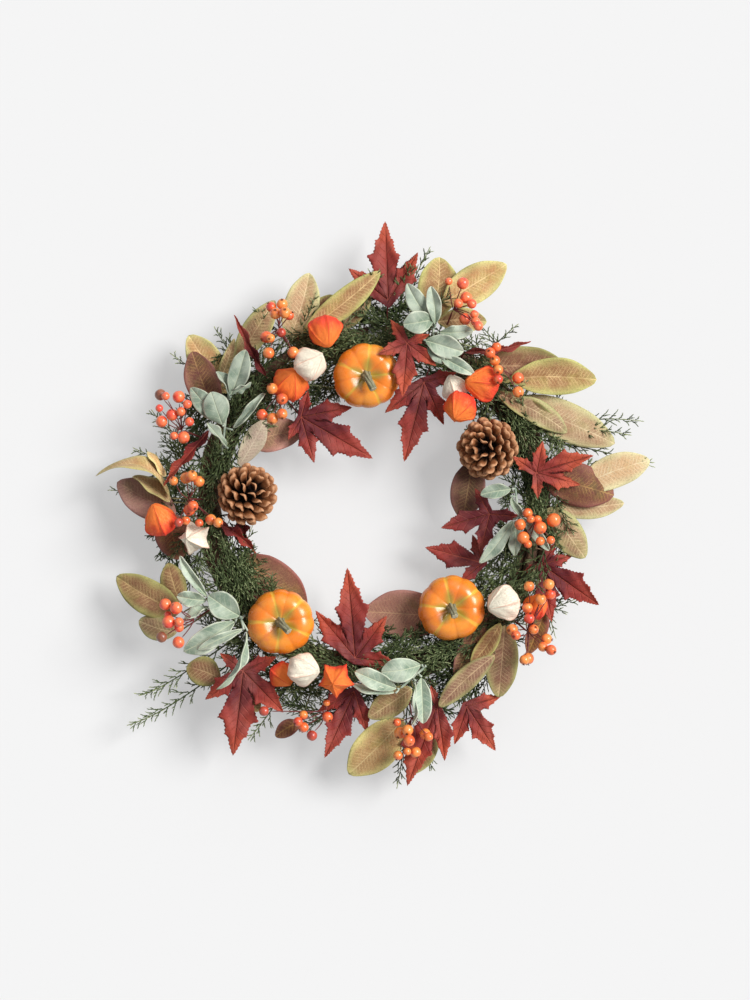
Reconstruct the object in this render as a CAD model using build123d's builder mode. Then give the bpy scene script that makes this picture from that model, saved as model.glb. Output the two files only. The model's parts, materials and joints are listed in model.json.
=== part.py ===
"""Harvest door wreath: a grapevine hoop dressed with leaves, cedar, gourds, cones and berries.

Frame: origin at the centre of the hanging loop's eye, door behind at +Y, front towards -Y, +Z up.
Places of the dressings are given in millimetres from the hoop's centre: x to the right, z up,
and out, the distance in front of the hoop's centreline.
"""

import os
from collections import namedtuple
from math import atan2, cos, hypot, pi, radians, sin, sqrt

from build123d import *

os.makedirs("parts", exist_ok=True)

# ---- driving dimensions, mm ----
hoop_radius = 166.0          # centreline of the grapevine hoop
layout_radius = 166.0        # the hoop radius that the places below are given for
cane_radius = 6.5            # one grapevine cane
cane_gap = 0.2               # air between neighbouring canes
tie_wire_radius = 0.8        # wire that ties the canes
tie_count = 12
fit_gap = 0.3                # clearance of a wrap round the canes, or of a stalk from what it carries
strap_thickness = 1.0        # hanger strap round the hoop
loop_wire_radius = 1.2       # hanging loop
loop_eye_radius = 11.0       # to the middle of the wire
loop_drop = 24.0             # from the eye's centre down to the pivot
loop_corner_radius = 4.0
loop_end_play = 0.5
pivot_clearance = 0.1        # loop wire in its knuckle
knuckle_wall = 1.2
blade_thickness = 0.5        # every leaf blade
blade_end_trim = 0.05        # keeps a blade's outline clear of the ends of the strip it is cut from
stalk_radius = 0.8           # stalks of leaves, lanterns and berries
berry_stalk_radius = 0.5
stem_radius = 1.2            # main stem of a spray
twig_radius = 0.8            # cedar stems at the thick end
pick_radius = 1.6            # picks of gourds and cones
pumpkin_radius = 32.5
lobe_radius = 17.0           # one of a gourd's lobes
lobe_count = 10
pumpkin_neck_height = 6.0    # straight foot of a gourd's stem, before it leans
pumpkin_neck_radius = 3.6
pumpkin_stub_height = 9.0
pumpkin_stub_radius = 2.6
cone_radius = 29.5
cone_length = 50.0
cone_scale_radius = 6.5
cone_scale_thickness = 2.4
cone_scale_count = 44
golden_turn = 137.508        # degrees between one cone scale and the next

# ---- worked out from them ----
cane_pitch = 2 * cane_radius + cane_gap
bundle_radius = cane_pitch / sqrt(2) + cane_radius
strap_inner = bundle_radius + fit_gap
strap_outer = strap_inner + strap_thickness
strap_width = 2 * (loop_eye_radius - loop_corner_radius - loop_end_play)
knuckle_inner = loop_wire_radius + pivot_clearance
knuckle_outer = knuckle_inner + knuckle_wall
hoop_y = -(bundle_radius + 2 * tie_wire_radius - loop_wire_radius)
pivot_distance = strap_outer + knuckle_outer - strap_thickness / 2
pivot_rise = sqrt(pivot_distance**2 - hoop_y**2)
hang_height = hoop_radius + pivot_rise + loop_drop
viewer = Vector(0, -1, 0)

Leaf = namedtuple("Leaf", "base tip width out bend roll", defaults=(3, 0))
Maple = namedtuple("Maple", "centre lobes out bend", defaults=(4,))
Sprig = namedtuple("Sprig", "base tip width out", defaults=(26, (10, 12)))
Spray = namedtuple("Spray", "foot end out leaves")
Lantern = namedtuple("Lantern", "centre heading width length out")
Cluster = namedtuple("Cluster", "meet out berries")


def place(x, z, out):
    """A place given from the hoop's centre, moved out with the hoop if the hoop grows."""
    distance = hypot(x, z)
    stretch = (distance + hoop_radius - layout_radius) / distance
    return Vector(x * stretch, hoop_y - out, z * stretch - hang_height)


def root_on_hoop(x, z, out=2.0):
    """The point inside the cane bundle nearest to a place."""
    angle = atan2(z, x)
    return Vector(hoop_radius * cos(angle), hoop_y - out, hoop_radius * sin(angle) - hang_height)


def facing_plane(start, along, roll):
    """A plane with x along a direction and z towards the viewer, rolled about x."""
    along = along.normalized()
    normal = (viewer - along * viewer.dot(along)).normalized()
    return Plane(origin=start, x_dir=along, z_dir=normal.rotate(Axis((0, 0, 0), along), roll))


def rod(start, end, radius, end_radius=None):
    """A straight round rod, tapered if end_radius is given."""
    with BuildPart() as piece:
        with BuildSketch(Plane(origin=start, z_dir=end - start)):
            Circle(radius)
        if end_radius is None:
            extrude(amount=(end - start).length)
        else:
            with BuildSketch(Plane(origin=end, z_dir=end - start)):
                Circle(end_radius)
            loft()
    return piece.part


def arched_strip(low, high, half_width, bend):
    """A thin strip over x from low to high that arches up by bend, wide along y."""
    middle = (low + high) / 2
    top = blade_thickness
    with BuildPart() as strip:
        with BuildSketch(Plane.XZ):
            with BuildLine():
                ThreePointArc((low, 0), (middle, bend), (high, 0))
                Line((high, 0), (high, top))
                ThreePointArc((high, top), (middle, bend + top), (low, top))
                Line((low, top), (low, 0))
            make_face()
        extrude(amount=half_width, both=True)
    return strip.part


def oval_blade(leaf, root):
    """An oval leaf blade, arched along its length, and the stalk that holds it."""
    start = place(*leaf.base, leaf.out[0])
    reach = Vector(leaf.tip[0] - leaf.base[0], leaf.out[0] - leaf.out[1], leaf.tip[1] - leaf.base[1])
    length = reach.length
    plane = facing_plane(start, reach, leaf.roll)
    strip = arched_strip(0, length, leaf.width, leaf.bend)
    with BuildPart() as blade:
        add(strip)
        with BuildSketch():
            with Locations((length / 2, 0)):
                Ellipse(length / 2 - blade_end_trim, leaf.width / 2)
        extrude(amount=2 * length, both=True, mode=Mode.INTERSECT)
    stalk_end = start - reach.normalized() * (stalk_radius + fit_gap)
    return [blade.part.moved(plane.location), rod(root, stalk_end, stalk_radius)]


def maple_outline(lobes, main_angle):
    """Points of a maple leaf: shoulders and a tip to each lobe, and a notch between lobes."""
    points = []
    gaps = [(after[0] - before[0]) % 360 for before, after in zip(lobes, lobes[1:] + lobes[:1])]
    for index, (angle, length) in enumerate(lobes):
        gap_before, gap_after = gaps[index - 1], gaps[index]
        next_length = lobes[(index + 1) % len(lobes)][1]
        notch = 0.34 * min(length, next_length) if gap_after < 100 else 0.12 * length
        corners = (
            (-min(16, 0.42 * gap_before), 0.55 * length),
            (0, length),
            (min(16, 0.42 * gap_after), 0.55 * length),
            (gap_after / 2, notch),
        )
        for turn, radius in corners:
            direction = radians(angle + turn - main_angle)
            points.append((radius * cos(direction), radius * sin(direction)))
    return points


def maple_blade(leaf):
    """A lobed maple blade, arched along its longest lobe, and its stalk behind the lobes' meeting."""
    main_angle, main_length = max(leaf.lobes, key=lambda lobe: lobe[1])
    centre = place(*leaf.centre, leaf.out[0])
    heading = radians(main_angle)
    reach = Vector(main_length * cos(heading), leaf.out[0] - leaf.out[1], main_length * sin(heading))
    plane = facing_plane(centre, reach, 0)
    outline = maple_outline(sorted(leaf.lobes), main_angle)
    low = min(x for x, _ in outline) - 1
    high = max(x for x, _ in outline) + 1
    crown = leaf.bend * (1 - ((high + low) / (high - low)) ** 2)
    strip = arched_strip(low, high, 2 * main_length, leaf.bend)
    with BuildPart() as blade:
        add(strip)
        with BuildSketch():
            with BuildLine():
                Polyline(*outline, close=True)
            make_face()
        extrude(amount=2 * main_length, both=True, mode=Mode.INTERSECT)
    stalk_end = centre + plane.z_dir * (crown - stalk_radius / 2 - fit_gap)
    stalk = rod(root_on_hoop(*leaf.centre), stalk_end, stalk_radius)
    return [blade.part.moved(plane.location), stalk]


def cedar_sprig(sprig):
    """A tapering cedar stem with side twigs that lean towards its tip."""
    twig_lean = 35
    foot = place(*sprig.base, sprig.out[0])
    reach = Vector(sprig.tip[0] - sprig.base[0], sprig.out[0] - sprig.out[1], sprig.tip[1] - sprig.base[1])
    plane = facing_plane(foot, reach, 0)
    with BuildPart() as stem:
        add(rod(root_on_hoop(*sprig.base), foot + reach * 0.03, twig_radius))
        add(rod(foot, foot + reach, twig_radius, twig_radius / 3))
        for step in range(7):
            share = 0.15 + 0.11 * step
            side = 1 if step % 2 else -1
            length = sprig.width / 2 / sin(radians(twig_lean)) * (1 - 0.6 * share)
            direction = plane.x_dir.rotate(Axis((0, 0, 0), plane.z_dir), side * twig_lean)
            start = foot + reach * share
            add(rod(start, start + direction * length, twig_radius * 0.6, twig_radius / 4))
    return stem.part


def leaf_spray(spray):
    """A soft-leaved spray: its stem from the hoop, and a leaf on a short stalk for each place."""
    foot = place(*spray.foot, spray.out)
    end = place(*spray.end, spray.out)
    pieces = [rod(root_on_hoop(*spray.foot), foot, stem_radius), rod(foot, end, stem_radius)]
    for leaf in spray.leaves:
        base = place(*leaf.base, spray.out)
        along = end - foot
        share = min(max((base - foot).dot(along) / along.length**2, 0), 1)
        behind = viewer * -(stem_radius + stalk_radius + fit_gap)
        pieces += oval_blade(leaf, foot + along * share + behind)
    return pieces


def lantern_pod(lantern):
    """A five-sided paper lantern pod on its stalk, made from its stalk end to its tip."""
    heading = Vector(*lantern.heading).normalized()
    base = place(*lantern.centre, lantern.out) - heading * lantern.length / 2
    plane = Plane(origin=base, z_dir=heading)
    with BuildPart() as pod:
        for share, spread in ((0, 0.3), (0.2, 0.88), (0.42, 1.0), (0.72, 0.62), (1.0, 0.06)):
            with BuildSketch(plane.offset(share * lantern.length)):
                RegularPolygon(spread * lantern.width / 2, 5)
        loft()
    return [pod.part, rod(root_on_hoop(*lantern.centre), base - heading * fit_gap, stalk_radius)]


def berry_cluster(cluster):
    """Berries on thin stalks from one meeting point, each set far enough out to clear the last ones."""
    meet = place(*cluster.meet, cluster.out - 8)
    pieces = [rod(root_on_hoop(*cluster.meet), meet, stalk_radius)]
    placed = []
    for index, (x, z, radius) in enumerate(cluster.berries):
        centre = place(x, z, cluster.out + 4 * sin(2.4 * index))
        while any((centre - other).length < radius + size + fit_gap for other, size in placed):
            centre += viewer
        placed.append((centre, radius))
        with BuildPart(Plane(origin=centre)) as berry:
            Sphere(radius)
        towards = (centre - meet).normalized()
        pieces += [berry.part, rod(meet, centre - towards * (radius + fit_gap), berry_stalk_radius)]
    return pieces


def write(name, pieces):
    """Groups a node's separate pieces and writes them as one STEP."""
    group = Compound(label=name, children=[solid for piece in pieces for solid in piece.solids()])
    export_step(group, f"parts/{name}.step")


# ---- grapevine hoop and its ties ----
for index, (inward, forward) in enumerate(((-1, 1), (1, 1), (1, -1), (-1, -1)), start=1):
    with BuildPart() as cane:
        with Locations((0, hoop_y - forward * cane_pitch / 2, -hang_height)):
            Torus(hoop_radius - inward * cane_pitch / 2, cane_radius, rotation=(90, 0, 0))
    cane.part.label = f"vine_cane_{index}"
    export_step(cane.part, f"parts/vine_cane_{index}.step")

with BuildPart() as tie_wires:
    for turn in range(tie_count):
        angle = (turn + 0.5) * 2 * pi / tie_count
        centre = root_on_hoop(cos(angle), sin(angle), 0)
        with Locations(Plane(origin=centre, z_dir=(-sin(angle), 0, cos(angle)))):
            Torus(bundle_radius + fit_gap + tie_wire_radius, tie_wire_radius)
tie_wires.part.label = "tie_wires"
export_step(tie_wires.part, "parts/tie_wires.step")

# ---- hanger: a strap round the top of the hoop, with a knuckle for the wire loop ----
hoop_top = (hoop_y, hoop_radius - hang_height)
pivot = (0, -loop_drop)
with BuildPart() as hanger_strap:
    with BuildSketch(Plane.YZ.offset(-strap_width / 2)):
        with Locations(hoop_top):
            Circle(strap_outer)
        with Locations(pivot):
            Circle(knuckle_outer)
        with Locations(hoop_top):
            Circle(strap_inner, mode=Mode.SUBTRACT)
        with Locations(pivot):
            Circle(knuckle_inner, mode=Mode.SUBTRACT)
    extrude(amount=strap_width)
hanger_strap.part.label = "hanger_strap"
export_step(hanger_strap.part, "parts/hanger_strap.step")

with BuildPart() as hanging_loop:
    with BuildLine():
        FilletPolyline(
            (-loop_eye_radius, 0, 0),
            (-loop_eye_radius, 0, -loop_drop),
            (loop_eye_radius, 0, -loop_drop),
            (loop_eye_radius, 0, 0),
            radius=loop_corner_radius,
        )
        ThreePointArc((loop_eye_radius, 0, 0), (0, 0, loop_eye_radius), (-loop_eye_radius, 0, 0))
    with BuildSketch(Plane(origin=(-loop_eye_radius, 0, 0), z_dir=(0, 0, -1))):
        Circle(loop_wire_radius)
    sweep()
hanging_loop.part.label = "hanging_loop"
export_step(hanging_loop.part, "parts/hanging_loop.step")

# ---- gourds: lobes round a core, a stem in the dimple, a pick into the hoop ----
pumpkins = {
    "top": ((-8.5, 129), 37, (7, -18)),
    "lower_left": ((-94.5, -117), 38, (10, -11)),
    "lower_right": ((76.5, -103), 37, (4, -10)),
}
lobe_centre = pumpkin_radius - lobe_radius
dimple_height = sqrt(lobe_radius**2 - lobe_centre**2)
core_height = dimple_height + 2
stem_seat = sqrt(lobe_radius**2 - (lobe_centre - pumpkin_neck_radius) ** 2) + fit_gap
picks = []
for name, ((x, z), out, (lean_x, lean_z)) in pumpkins.items():
    middle = place(x, z, out)
    with BuildPart(Plane(origin=middle, x_dir=(1, 0, 0), z_dir=viewer)) as pumpkin:
        Cylinder(lobe_centre / 2, 2 * core_height)
        with PolarLocations(lobe_centre, lobe_count):
            Sphere(lobe_radius)
    pumpkin.part.label = f"pumpkin_{name}"
    export_step(pumpkin.part, f"parts/pumpkin_{name}.step")
    foot = middle + viewer * stem_seat
    neck = foot + viewer * pumpkin_neck_height
    with BuildPart() as stem:
        add(rod(foot, neck, pumpkin_neck_radius))
        with Locations(neck):
            Sphere(pumpkin_neck_radius)
        top = neck + Vector(lean_x, -pumpkin_stub_height, lean_z)
        add(rod(neck, top, pumpkin_neck_radius, pumpkin_stub_radius))
    stem.part.label = f"pumpkin_stem_{name}"
    export_step(stem.part, f"parts/pumpkin_stem_{name}.step")
    picks.append(rod(root_on_hoop(x, z), middle - viewer * dimple_height, pick_radius))

# ---- pine cones: a core with scales set on a spiral, each on a pick ----
cones = {
    "left": ((-120.5, 16), 42, (0.42, -0.82, 0.38)),
    "right": ((107.7, 56.5), 42, (-0.30, -0.95, 0.02)),
}
for name, ((x, z), out, axis) in cones.items():
    heading = Vector(*axis).normalized()
    base = place(x, z, out) - heading * cone_length / 2
    scales = []
    for step in range(cone_scale_count):
        share = step / (cone_scale_count - 1)
        height = cone_length * (0.12 + 0.72 * share)
        spread = (cone_radius - cone_scale_radius) * sqrt(1 - (0.9 * share) ** 2)
        lift = 10 + 55 * share
        turned = Location((0, 0, height), (0, 0, step * golden_turn))
        scales.append(turned * Location((spread, 0, 0), (0, -lift, 0)))
    with BuildPart() as cone:
        with Locations((0, 0, cone_length / 2)):
            Cone(cone_radius * 0.5, cone_radius * 0.2, cone_length * 0.88)
        with Locations(*scales):
            Cylinder(cone_scale_radius, cone_scale_thickness)
        with Locations(*[scale * Location((-1.4 * cone_scale_radius, 0, 0)) for scale in scales]):
            Box(2.2 * cone_scale_radius, 0.8 * cone_scale_radius, cone_scale_thickness)
    placed = cone.part.moved(Plane(origin=base, z_dir=heading).location)
    placed.label = f"pine_cone_{name}"
    export_step(placed, f"parts/pine_cone_{name}.step")
    picks.append(rod(root_on_hoop(x, z), base + heading * cone_length * 0.05, pick_radius))
write("pick_wires", picks)

# ---- magnolia leaves ----
magnolia = {
    "top_left": [
        Leaf((-145, 112), (-187, 171), 34, (18, 14)),
        Leaf((-160, 90), (-183, 154), 34, (24, 22)),
        Leaf((-160, 115), (-141, 167), 13, (21, 23)),
        Leaf((-140, 142), (-101, 206), 28, (18, 16)),
        Leaf((-86, 165), (-66, 233), 36, (22, 18)),
        Leaf((-86, 162), (-42, 211), 30, (17, 13)),
    ],
    "top": [
        Leaf((-72, 172), (5, 234), 27, (27, 26)),
        Leaf((-58, 178), (-20, 197), 15, (21, 20)),
        Leaf((-35, 175), (-5, 215), 24, (17, 14)),
        Leaf((58, 185), (66, 249), 42, (18, 14)),
        Leaf((68, 202), (132, 241), 38, (23, 20)),
        Leaf((62, 184), (112, 184), 25, (25, 24)),
    ],
    "right": [
        Leaf((100, 141), (188, 141), 40, (19, 17)),
        Leaf((135, 127), (222, 125), 38, (26, 22)),
        Leaf((135, 106), (241, 62), 40, (21, 19)),
        Leaf((135, 106), (193, 73), 25, (28, 27)),
        Leaf((120, 114), (190, 73), 22, (24, 24)),
    ],
    "lower_right": [
        Leaf((165, 34), (240, 10), 44, (28, 24)),
        Leaf((205, 18), (276, 45), 34, (21, 17)),
        Leaf((180, -2), (250, 2), 24, (18, 14)),
        Leaf((172, -3), (211, -53), 33, (22, 20)),
        Leaf((98, 45), (88, -15), 36, (13, 9)),
        Leaf((172, -105), (154, -150), 20, (17, 18)),
    ],
    "bottom": [
        Leaf((126, -118), (96, -160), 19, (29, 32)),
        Leaf((120, -150), (64, -202), 23, (35, 37)),
        Leaf((130, -120), (124, -193), 33, (25, 22)),
        Leaf((112, -108), (80, -176), 20, (20, 23)),
        Leaf((75, -112), (-11, -106), 48, (13, 8)),
        Leaf((37, -183), (-7, -213), 28, (31, 30)),
        Leaf((29, -214), (-27, -270), 43, (26, 21)),
        Leaf((60, -222), (38, -270), 27, (17, 13)),
    ],
    "left": [
        Leaf((-195, -108), (-260, -72), 37, (20, 16)),
        Leaf((-195, -98), (-208, -58), 26, (16, 14)),
        Leaf((-198, -127), (-237, -116), 25, (23, 21)),
        Leaf((-155, -175), (-189, -162), 30, (18, 16)),
        Leaf((-205, 7), (-279, 32), 30, (30, 26), 24, 68),
        Leaf((-205, 3), (-243, 29), 24, (26, 24), 4, 50),
        Leaf((-210, 28), (-228, 54), 20, (24, 22), 3, 65),
        Leaf((-200, -12), (-259, 23), 37, (18, 15)),
        Leaf((-208, -8), (-197, -55), 36, (17, 16)),
        Leaf((-135, -52), (-70, -104), 46, (14, 9)),
        Leaf((-128, 62), (-70, 75), 34, (15, 12)),
        Leaf((-137, 38), (-110, 86), 24, (20, 24), 3, 30),
        Leaf((-75, -218), (-100, -233), 18, (14, 12)),
        Leaf((-130, -185), (-116, -207), 18, (18, 17)),
    ],
}
for name, leaves in magnolia.items():
    pieces = [piece for leaf in leaves for piece in oval_blade(leaf, root_on_hoop(*leaf.base))]
    write(f"magnolia_{name}", pieces)

# ---- maple leaves: whole ones, and ones folded narrow ----
maple = {
    "left": (
        [Maple((-74, 88), ((-30, 83), (-74, 48), (11, 52), (75, 28), (-120, 26)), (27, 25))],
        [
            Leaf((-109, 129), (-141, 190), 12, (30, 36)),
            Leaf((-166, 75), (-212, 18), 14, (30, 33)),
            Leaf((-163, -15), (-119, -48), 14, (26, 24)),
            Leaf((-140, -10), (-130, -40), 20, (20, 17)),
        ],
    ),
    "top": (
        [
            Maple((13, 205), ((92, 80), (141, 51), (58, 57)), (21, 18)),
            Maple((32, 161), ((-95, 54), (-38, 37), (201, 31), (22, 24), (125, 29)), (48, 52)),
            Maple((49, 123), ((-104, 82), (-65, 47), (218, 50), (16, 33)), (36, 31)),
        ],
        [Leaf((90, 153), (156, 164), 12, (31, 33))],
    ),
    "right": (
        [
            Maple((161, 32), ((17, 60), (78, 33), (145, 29), (-15, 46), (-86, 26)), (37, 35)),
            Maple((115, -9), ((196, 51), (120, 30), (-5, 31), (256, 40)), (28, 26)),
            Maple((108, -58), ((165, 60), (110, 30), (220, 30)), (16, 18)),
            Maple((167, -60), ((-35, 70), (17, 34), (56, 28), (-80, 58), (202, 20)), (19, 20)),
        ],
        [],
    ),
    "lower_left": (
        [Maple((-132, -166), ((263, 86), (217, 48), (314, 58), (142, 29), (23, 36)), (30, 26))],
        [],
    ),
    "bottom": (
        [
            Maple((-20, -153), ((95, 91), (130, 62), (53, 53), (-8, 43)), (26, 30)),
            Maple((-21, -187), ((246, 73), (209, 42), (288, 43)), (22, 18)),
            Maple((62, -200), ((250, 87), (278, 57), (108, 20)), (29, 27)),
            Maple((92, -202), ((16, 36), (-57, 53), (252, 40)), (20, 18)),
        ],
        [],
    ),
}
for name, (whole, folded) in maple.items():
    pieces = [piece for leaf in whole for piece in maple_blade(leaf)]
    pieces += [piece for leaf in folded for piece in oval_blade(leaf, root_on_hoop(*leaf.base))]
    write(f"maple_{name}", pieces)

# ---- lamb's ear sprays ----
lambs_ear = {
    "upper_left": Spray((-163, -35), (-147, 105), 40, [
        Leaf((-144, 109), (-129, 155), 22, (44, 48)),
        Leaf((-146, 111), (-159, 133), 12, (44, 46), 2, 45),
        Leaf((-145, 113), (-123, 121), 10, (44, 46), 2, 45),
        Leaf((-155, 82), (-184, 117), 20, (44, 48)),
        Leaf((-152, 80), (-163, 113), 27, (48, 52)),
        Leaf((-142, 76), (-110, 112), 17, (44, 47)),
        Leaf((-148, 58), (-168, 82), 12, (44, 48), 3, 40),
    ]),
    "top": Spray((59, 150), (58, 180), 48, [
        Leaf((59, 178), (32, 221), 20, (52, 54)),
        Leaf((60, 180), (56, 218), 16, (55, 58)),
        Leaf((59, 185), (28, 180), 24, (54, 58)),
        Leaf((50, 164), (88, 152), 24, (54, 56)),
        Leaf((64, 172), (98, 174), 15, (53, 55)),
        Leaf((52, 160), (69, 141), 15, (52, 54)),
        Leaf((64, 150), (99, 130), 15, (52, 55)),
    ]),
    "lower_left": Spray((-134, -114), (-163, -98), 42, [
        Leaf((-135, -111), (-166, -90), 27, (47, 50)),
        Leaf((-167, -92), (-195, -51), 13, (45, 48)),
        Leaf((-168, -95), (-198, -91), 16, (45, 47)),
        Leaf((-166, -101), (-191, -114), 12, (44, 44), 2, 40),
        Leaf((-140, -116), (-191, -147), 26, (45, 43)),
        Leaf((-132, -124), (-177, -145), 13, (49, 48)),
        Leaf((-128, -126), (-158, -184), 14, (45, 44), 10, -50),
    ]),
    "bottom": Spray((61, -152), (24, -184), 44, [
        Leaf((46, -160), (6, -166), 25, (48, 50)),
        Leaf((22, -183), (-20, -166), 20, (46, 46)),
        Leaf((20, -187), (-23, -179), 13, (43, 42)),
        Leaf((40, -176), (36, -220), 14, (48, 48), 5, -50),
        Leaf((46, -172), (48, -218), 20, (49, 51)),
    ]),
    "right": Spray((139, 30), (143, -12), 40, [
        Leaf((136, 16), (105, 10), 18, (44, 48)),
        Leaf((138, -15), (104, -58), 16, (44, 45)),
        Leaf((140, -15), (139, -51), 15, (43, 43)),
        Leaf((146, -12), (174, -46), 14, (41, 40)),
        Leaf((136, 8), (147, -12), 10, (45, 46)),
    ]),
}
for name, spray in lambs_ear.items():
    write(f"lambs_ear_{name}", leaf_spray(spray))

# ---- cedar sprigs ----
cedar = {
    "top": [
        Sprig((14, 180), (55, 258), 36, (17, 16)),
        Sprig((22, 178), (30, 240), 40, (20, 23)),
        Sprig((-20, 176), (-5, 236), 36, (22, 25)),
        Sprig((32, 172), (70, 215), 34, (24, 27)),
        Sprig((105, 150), (143, 181), 22, (17, 14)),
    ],
    "right": [
        Sprig((165, 75), (280, 38), 24, (15, 12)),
        Sprig((168, 85), (256, 70), 24, (16, 18)),
        Sprig((172, 92), (269, 84), 22, (13, 9)),
        Sprig((150, 95), (200, 55), 40, (20, 22)),
        Sprig((118, 100), (170, 58), 34, (22, 24)),
        Sprig((150, -40), (143, -105), 30, (18, 20)),
        Sprig((135, -50), (112, -92), 28, (19, 22)),
        Sprig((155, -40), (160, -84), 24, (17, 16)),
    ],
    "left": [
        Sprig((-182, 40), (-224, 95), 30, (15, 12)),
        Sprig((-185, 30), (-242, 57), 26, (14, 10)),
        Sprig((-185, 10), (-267, 15), 22, (13, 10)),
        Sprig((-150, 110), (-205, 152), 28, (15, 11)),
        Sprig((-130, 125), (-161, 178), 28, (16, 12)),
        Sprig((-105, 145), (-119, 194), 28, (16, 13)),
        Sprig((-158, 20), (-150, 75), 34, (19, 22)),
        Sprig((-155, 5), (-145, -50), 34, (19, 22)),
        Sprig((-160, -50), (-120, -105), 44, (19, 22)),
        Sprig((-165, -70), (-135, -130), 44, (17, 19)),
    ],
    "bottom": [
        Sprig((-160, -160), (-236, -191), 26, (15, 12)),
        Sprig((-145, -177), (-248, -221), 24, (14, 10)),
        Sprig((-80, -180), (-127, -235), 28, (15, 11)),
        Sprig((-28, -180), (-45, -246), 28, (14, 11)),
        Sprig((40, -185), (22, -284), 26, (13, 10)),
        Sprig((55, -185), (55, -266), 24, (15, 12)),
        Sprig((30, -150), (95, -172), 44, (18, 22)),
        Sprig((60, -160), (100, -130), 40, (19, 20)),
        Sprig((-40, -175), (-95, -195), 36, (17, 19)),
    ],
}
for name, sprigs in cedar.items():
    write(f"cedar_{name}", [cedar_sprig(sprig) for sprig in sprigs])

# ---- paper lantern pods: heading is from the stalk to the tip ----
lanterns = {
    "orange_1": Lantern((-49.5, 171.5), (0.2, -0.5, -0.8), 33, 34, 47),
    "cream_1": Lantern((-63, 142), (0.6, -0.6, 0.4), 33, 34, 57),
    "orange_2": Lantern((-84, 123), (0.2, -0.8, 0.5), 35, 37, 43),
    "orange_3": Lantern((-215.5, -13), (-0.3, -0.5, 0.7), 32, 36, 46),
    "cream_2": Lantern((-181.5, -33), (-0.4, -0.9, -0.05), 32, 32, 45),
    "orange_4": Lantern((-91.5, -171), (0.5, -0.6, -0.6), 26, 28, 39),
    "cream_3": Lantern((-69.5, -164), (0.8, -0.5, -0.1), 32, 34, 57),
    "orange_5": Lantern((-39.5, -175), (-0.15, -0.95, -0.2), 34, 33, 50),
    "cream_4": Lantern((126.5, -98.5), (-0.8, -0.5, -0.3), 34, 34, 50),
    "orange_6": Lantern((161, -100), (0.2, -0.6, 0.7), 24, 30, 38),
    "orange_7": Lantern((105, 121), (-0.8, -0.5, 0.1), 34, 36, 48),
    "cream_5": Lantern((79, 119), (-0.4, -0.4, 0.8), 26, 26, 38),
    "orange_8": Lantern((84, 95.5), (-0.3, -0.7, -0.6), 32, 33, 56),
}
for name, lantern in lanterns.items():
    write(f"lantern_{name}", lantern_pod(lantern))

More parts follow.
